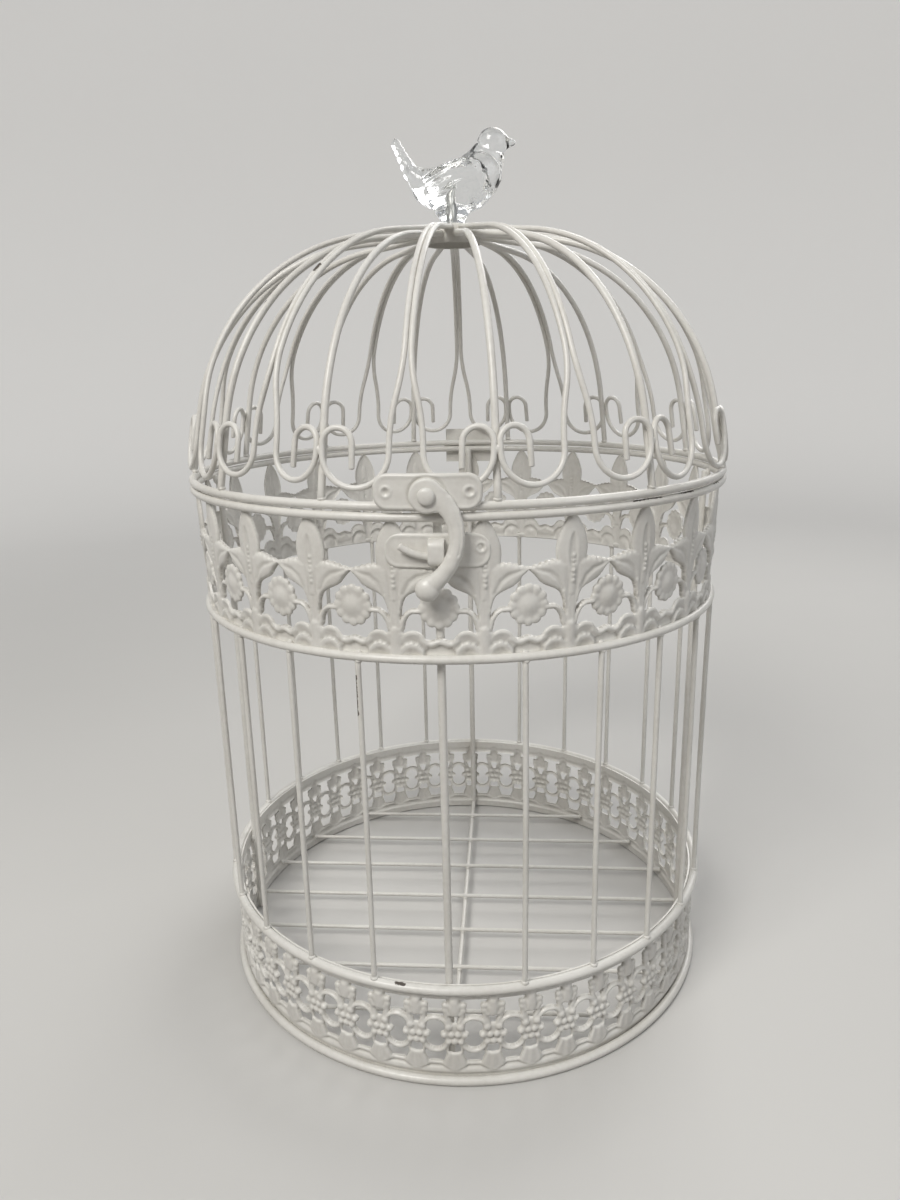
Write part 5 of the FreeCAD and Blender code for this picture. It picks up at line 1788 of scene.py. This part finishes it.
    def pin(self) -> None:
        """Loose bent pin under the strap."""
        lie = -(self.keeper_in + self.plate_sheet + 0.1 + self.pin_wire / 2)
        tip, bend, end = (
            (across, lie, up) for across, up in (self.pin_tip, self.pin_bend, self.pin_end))
        path = WirePath((tip[0], lie - 0.2, tip[2]), 0.8).arc(bend, end)
        shape = path.rod(self.pin_wire, sides=16)
        shape.piece("keeper_pin_wire", Body.CAGE, PAINT, ["keeper_pin"])

    def hook_pattern(self, press: Press) -> None:
        """Cast hook in the front view: eye, arm round the strap and a swollen end."""
        press.lump(0, self.pivot, self.eye_radius, self.hook_sheet, self.hook_sheet * 0.86)
        arm = (
            (0.8, 256.9, 5.6), (3.4, 256.2, 4.6), (6.1, 254.4, 3.7), (8.6, 251.0, 3.2),
            (9.9, 247.0, 3.0), (10.4, 243.2, 2.8), (10.3, 239.8, 2.75), (9.4, 236.2, 2.8),
            (7.6, 232.2, 2.9), (5.0, 228.8, 3.0), (2.3, 226.3, 3.3), (-0.3, 224.2, 3.9))
        depth, share = press.run(arm)
        bulge = half_round(1 - share)
        drop = np.clip((246.0 - press.up) / 14.0, 0, 1)
        press.form(depth, self.hook_sheet * (0.55 + 0.45 * bulge) + 1.3 * drop * bulge)
        press.lump(*self.ball, self.ball_radius, self.hook_sheet)
        press.lift(-0.28 * hump(depth - 1.25, 0.35) * (press.up > 236.0) * (press.across > 7.5))

    def hook(self) -> None:
        """Hook on its rivet."""
        cut = PressedSheet(
            self.hook_pattern, *self.hook_sides, *self.hook_ends, self.hook_cell, thick=0.0,
            soft_edge=0.4, edge_width=self.hook_rim).cut()
        ball = half_round(cut.press.away(*self.ball) / self.ball_swell)
        edge = 0.35 * np.clip(1 - cut.press.inside / self.hook_rim, 0, 1) ** 2
        front, back = (
            np.stack([cut.places, -(self.hook_back + out), cut.heights], -1)
            for out in (
                np.maximum(cut.press.rise, 1.0 + ball * self.ball_front),
                edge - ball * self.ball_back))
        skins = two_skins(front, back, cut.faces, cut.rim)
        shape = Shape().merge(Shape().add(*skins), self.turn)
        shape.piece("swing_hook", Body.HOOK, PAINT, ["hook"], crease=60.0)

    def rivet(self) -> None:
        """Domed rivet through the eye of the hook."""
        face = self.hook_back + self.hook_sheet
        profile = (
            (1.6, self.plate_in), (1.6, face + 0.2), (3.0, face + 0.3), (3.2, face + 0.6),
            (3.0, face + 1.05), (2.5, face + 1.4), (1.7, face + 1.62), (0.8, face + 1.72),
            (0.2, face + 1.74))
        points, faces = lathe(profile, (0, 0, self.pivot), axis="Y", sides=32)
        turned = Shape().merge(Shape().add(points, flipped(faces)), self.turn)
        turned.piece("hook_rivet", Body.LID, PAINT, ["pivot_rivet"], crease=50.0)

    def build(self) -> None:
        """Make the latch."""
        self.curved_plate(
            "latch_plate_sheet", Body.LID, "latch_plate", self.plate_in, self.plate_low, self.turn,
            self.plate(((-14.7, 6.5), (15.0, 6.5)), 0.3, 0.5))
        self.curved_plate(
            "keeper_plate_sheet", Body.CAGE, "keeper_plate", self.keeper_in, self.keeper_low, 0.0,
            self.plate(((15.8, 7.6),), 0.15), self.strap())
        self.pin()
        self.rivet()
        self.hook()


@dataclass
class Hinge:
    """Butt hinge at the back, whose CAD solids are right and only get their paint."""

    nodes: tuple[str, ...] = ("hinge_cage_leaf", "hinge_lid_leaf", "hinge_pin")

    def build(self) -> None:
        """Paint the hinge."""
        for name in self.nodes:
            PAINT.dress(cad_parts[name])
            LOG.info("%s keeps its CAD shape", name)


# The studio


@dataclass(frozen=True)
class Lamp:
    """Square soft lamp, in metres, watts and degrees of its beam."""

    name: str
    at: tuple[float, float, float]
    side: float
    power: float
    colour: tuple[float, float, float]
    spread: float = 180.0

    def build(self, aim: tuple[float, float, float]) -> None:
        """Hang the lamp so that it faces a point."""
        data = bpy.data.lights.new(self.name, "AREA")
        data.spread = math.radians(self.spread)
        data.size = self.side
        data.energy = self.power
        data.color = self.colour
        made = bpy.data.objects.new(self.name, data)
        made.location = self.at
        made.rotation_euler = (Vector(aim) - Vector(self.at)).to_track_quat("-Z", "Y").to_euler()
        made.visible_camera = False
        bpy.context.scene.collection.objects.link(made)


@dataclass
class Studio:
    """Pale floor that rises into a pale wall all round, soft light and the camera.

    The floor and the lamps are in metres, the camera's place is in millimetres.
    """

    floor_colour: Colour = (0.66, 0.65, 0.63, 1.0)
    bounce_colour: Colour = (0.26, 0.25, 0.24, 1.0)
    wall_glow: Colour = (0.35, 0.345, 0.335, 1.0)
    floor_radius: float = 1.3
    sweep_radius: float = 0.9
    wall_top: float = 2.6
    camera_at: tuple[float, float, float] = (0.1, -428.0, 302.0)
    pitch: float = 15.41
    yaw: float = -0.66
    roll: float = -1.26
    turn: float = 3.54
    focal: float = 863.4
    image_height: float = 1200.0
    sensor: float = 36.0
    sky: Colour = (0.93, 0.96, 1.0, 1.0)
    sky_strength: float = 0.45
    aim: tuple[float, float, float] = (0.0, 0.0, 0.2)
    lamps: tuple[Lamp, ...] = (
        Lamp("key", (-0.6, -1.1, 1.4), 0.7, 20.0, (1.0, 0.98, 0.94)),
        Lamp("fill", (1.2, -0.7, 0.7), 1.0, 4.0, (0.95, 0.97, 1.0)),
        Lamp("back", (0.55, 1.15, 1.15), 1.0, 4.0, (1.0, 0.99, 0.97), 100.0))

    def floor(self) -> None:
        """Round floor with a soft sweep up to the wall."""
        bend = np.radians(np.linspace(0, 90, 19))
        profile = [(0.02, 0.0), (0.6, 0.0)] + [
            (self.floor_radius + self.sweep_radius * math.sin(a),
             self.sweep_radius * (1 - math.cos(a))) for a in bend]
        profile.append((self.floor_radius + self.sweep_radius, self.wall_top))
        points, faces = lathe(profile, (0, 0, 0), sides=96)
        made = linked("floor", points, flipped(faces[:-1]))
        shader = Shader("pale_floor")
        cloud = shader.noise(shader.spot(), 5.0, 3.0)
        pale = tuple(x * 0.965 for x in self.floor_colour[:3]) + (1.0,)
        rays = [shader.node("ShaderNodeLightPath", output=number) for number in (0, 3, 6)]
        seen = rays[0].most(rays[1]).most(rays[2])
        colour = shader.blend(cloud, self.floor_colour, pale)
        away = shader.vector("LENGTH", shader.spot(), output=1)
        shader.set(
            Base_Color=shader.blend(seen, self.bounce_colour, colour),
            Emission_Color=shader.blend(
                away.ramp(0.35, 1.9) * seen, (0.0, 0.0, 0.0, 1.0), self.wall_glow),
            Emission_Strength=1.0, Roughness=0.7 + cloud * 0.1, Specular_IOR_Level=0.2)
        made.data.materials.append(shader.material)

    def world(self) -> None:
        """Even dim light from above the wall."""
        world = bpy.data.worlds.new("studio")
        world.use_nodes = True
        bpy.context.scene.world = world
        light = world.node_tree.nodes["Background"]
        light.inputs["Color"].default_value = self.sky
        light.inputs["Strength"].default_value = self.sky_strength

    def camera(self) -> None:
        """Camera at the photograph's viewing angle."""
        pitch, yaw, roll = (math.radians(x) for x in (self.pitch, self.yaw, self.roll))
        ahead = Vector((
            math.sin(yaw) * math.cos(pitch), math.cos(yaw) * math.cos(pitch), -math.sin(pitch)))
        right = Vector((math.cos(yaw), -math.sin(yaw), 0))
        above = right.cross(ahead)
        leaned = right * math.cos(roll) + above * math.sin(roll)
        upward = above * math.cos(roll) - right * math.sin(roll)
        turned = Matrix.Rotation(math.radians(self.turn), 3, "Z")
        axes = [turned @ axis for axis in (leaned, upward, -ahead)]
        data = bpy.data.cameras.new("camera")
        data.sensor_width = self.sensor
        data.lens = self.focal / self.image_height * self.sensor
        data.clip_start, data.clip_end = 0.01, 20.0
        made = bpy.data.objects.new("camera", data)
        place = turned @ Vector(self.camera_at) * MM
        made.matrix_world = Matrix.Translation(place) @ Matrix(axes).transposed().to_4x4()
        bpy.context.scene.collection.objects.link(made)
        bpy.context.scene.camera = made

    def build(self) -> None:
        """Set the stage."""
        self.floor()
        self.world()
        for lamp in self.lamps:
            lamp.build(self.aim)
        self.camera()
        bpy.context.scene.view_settings.view_transform = "Standard"


def main() -> None:
    """Build every sub-assembly in order."""
    logging.basicConfig(level=logging.INFO, format="%(message)s")
    rings = Rings()
    dome = Dome(rings)
    for part in (
            rings, LatticeStrip(), GalleryStrip(), CageWires(rings), dome, Crown(dome), Latch(),
            Hinge(), Studio()):
        part.build()
        LOG.info("%s is built", type(part).__name__)


if __name__ == "__main__":
    main()
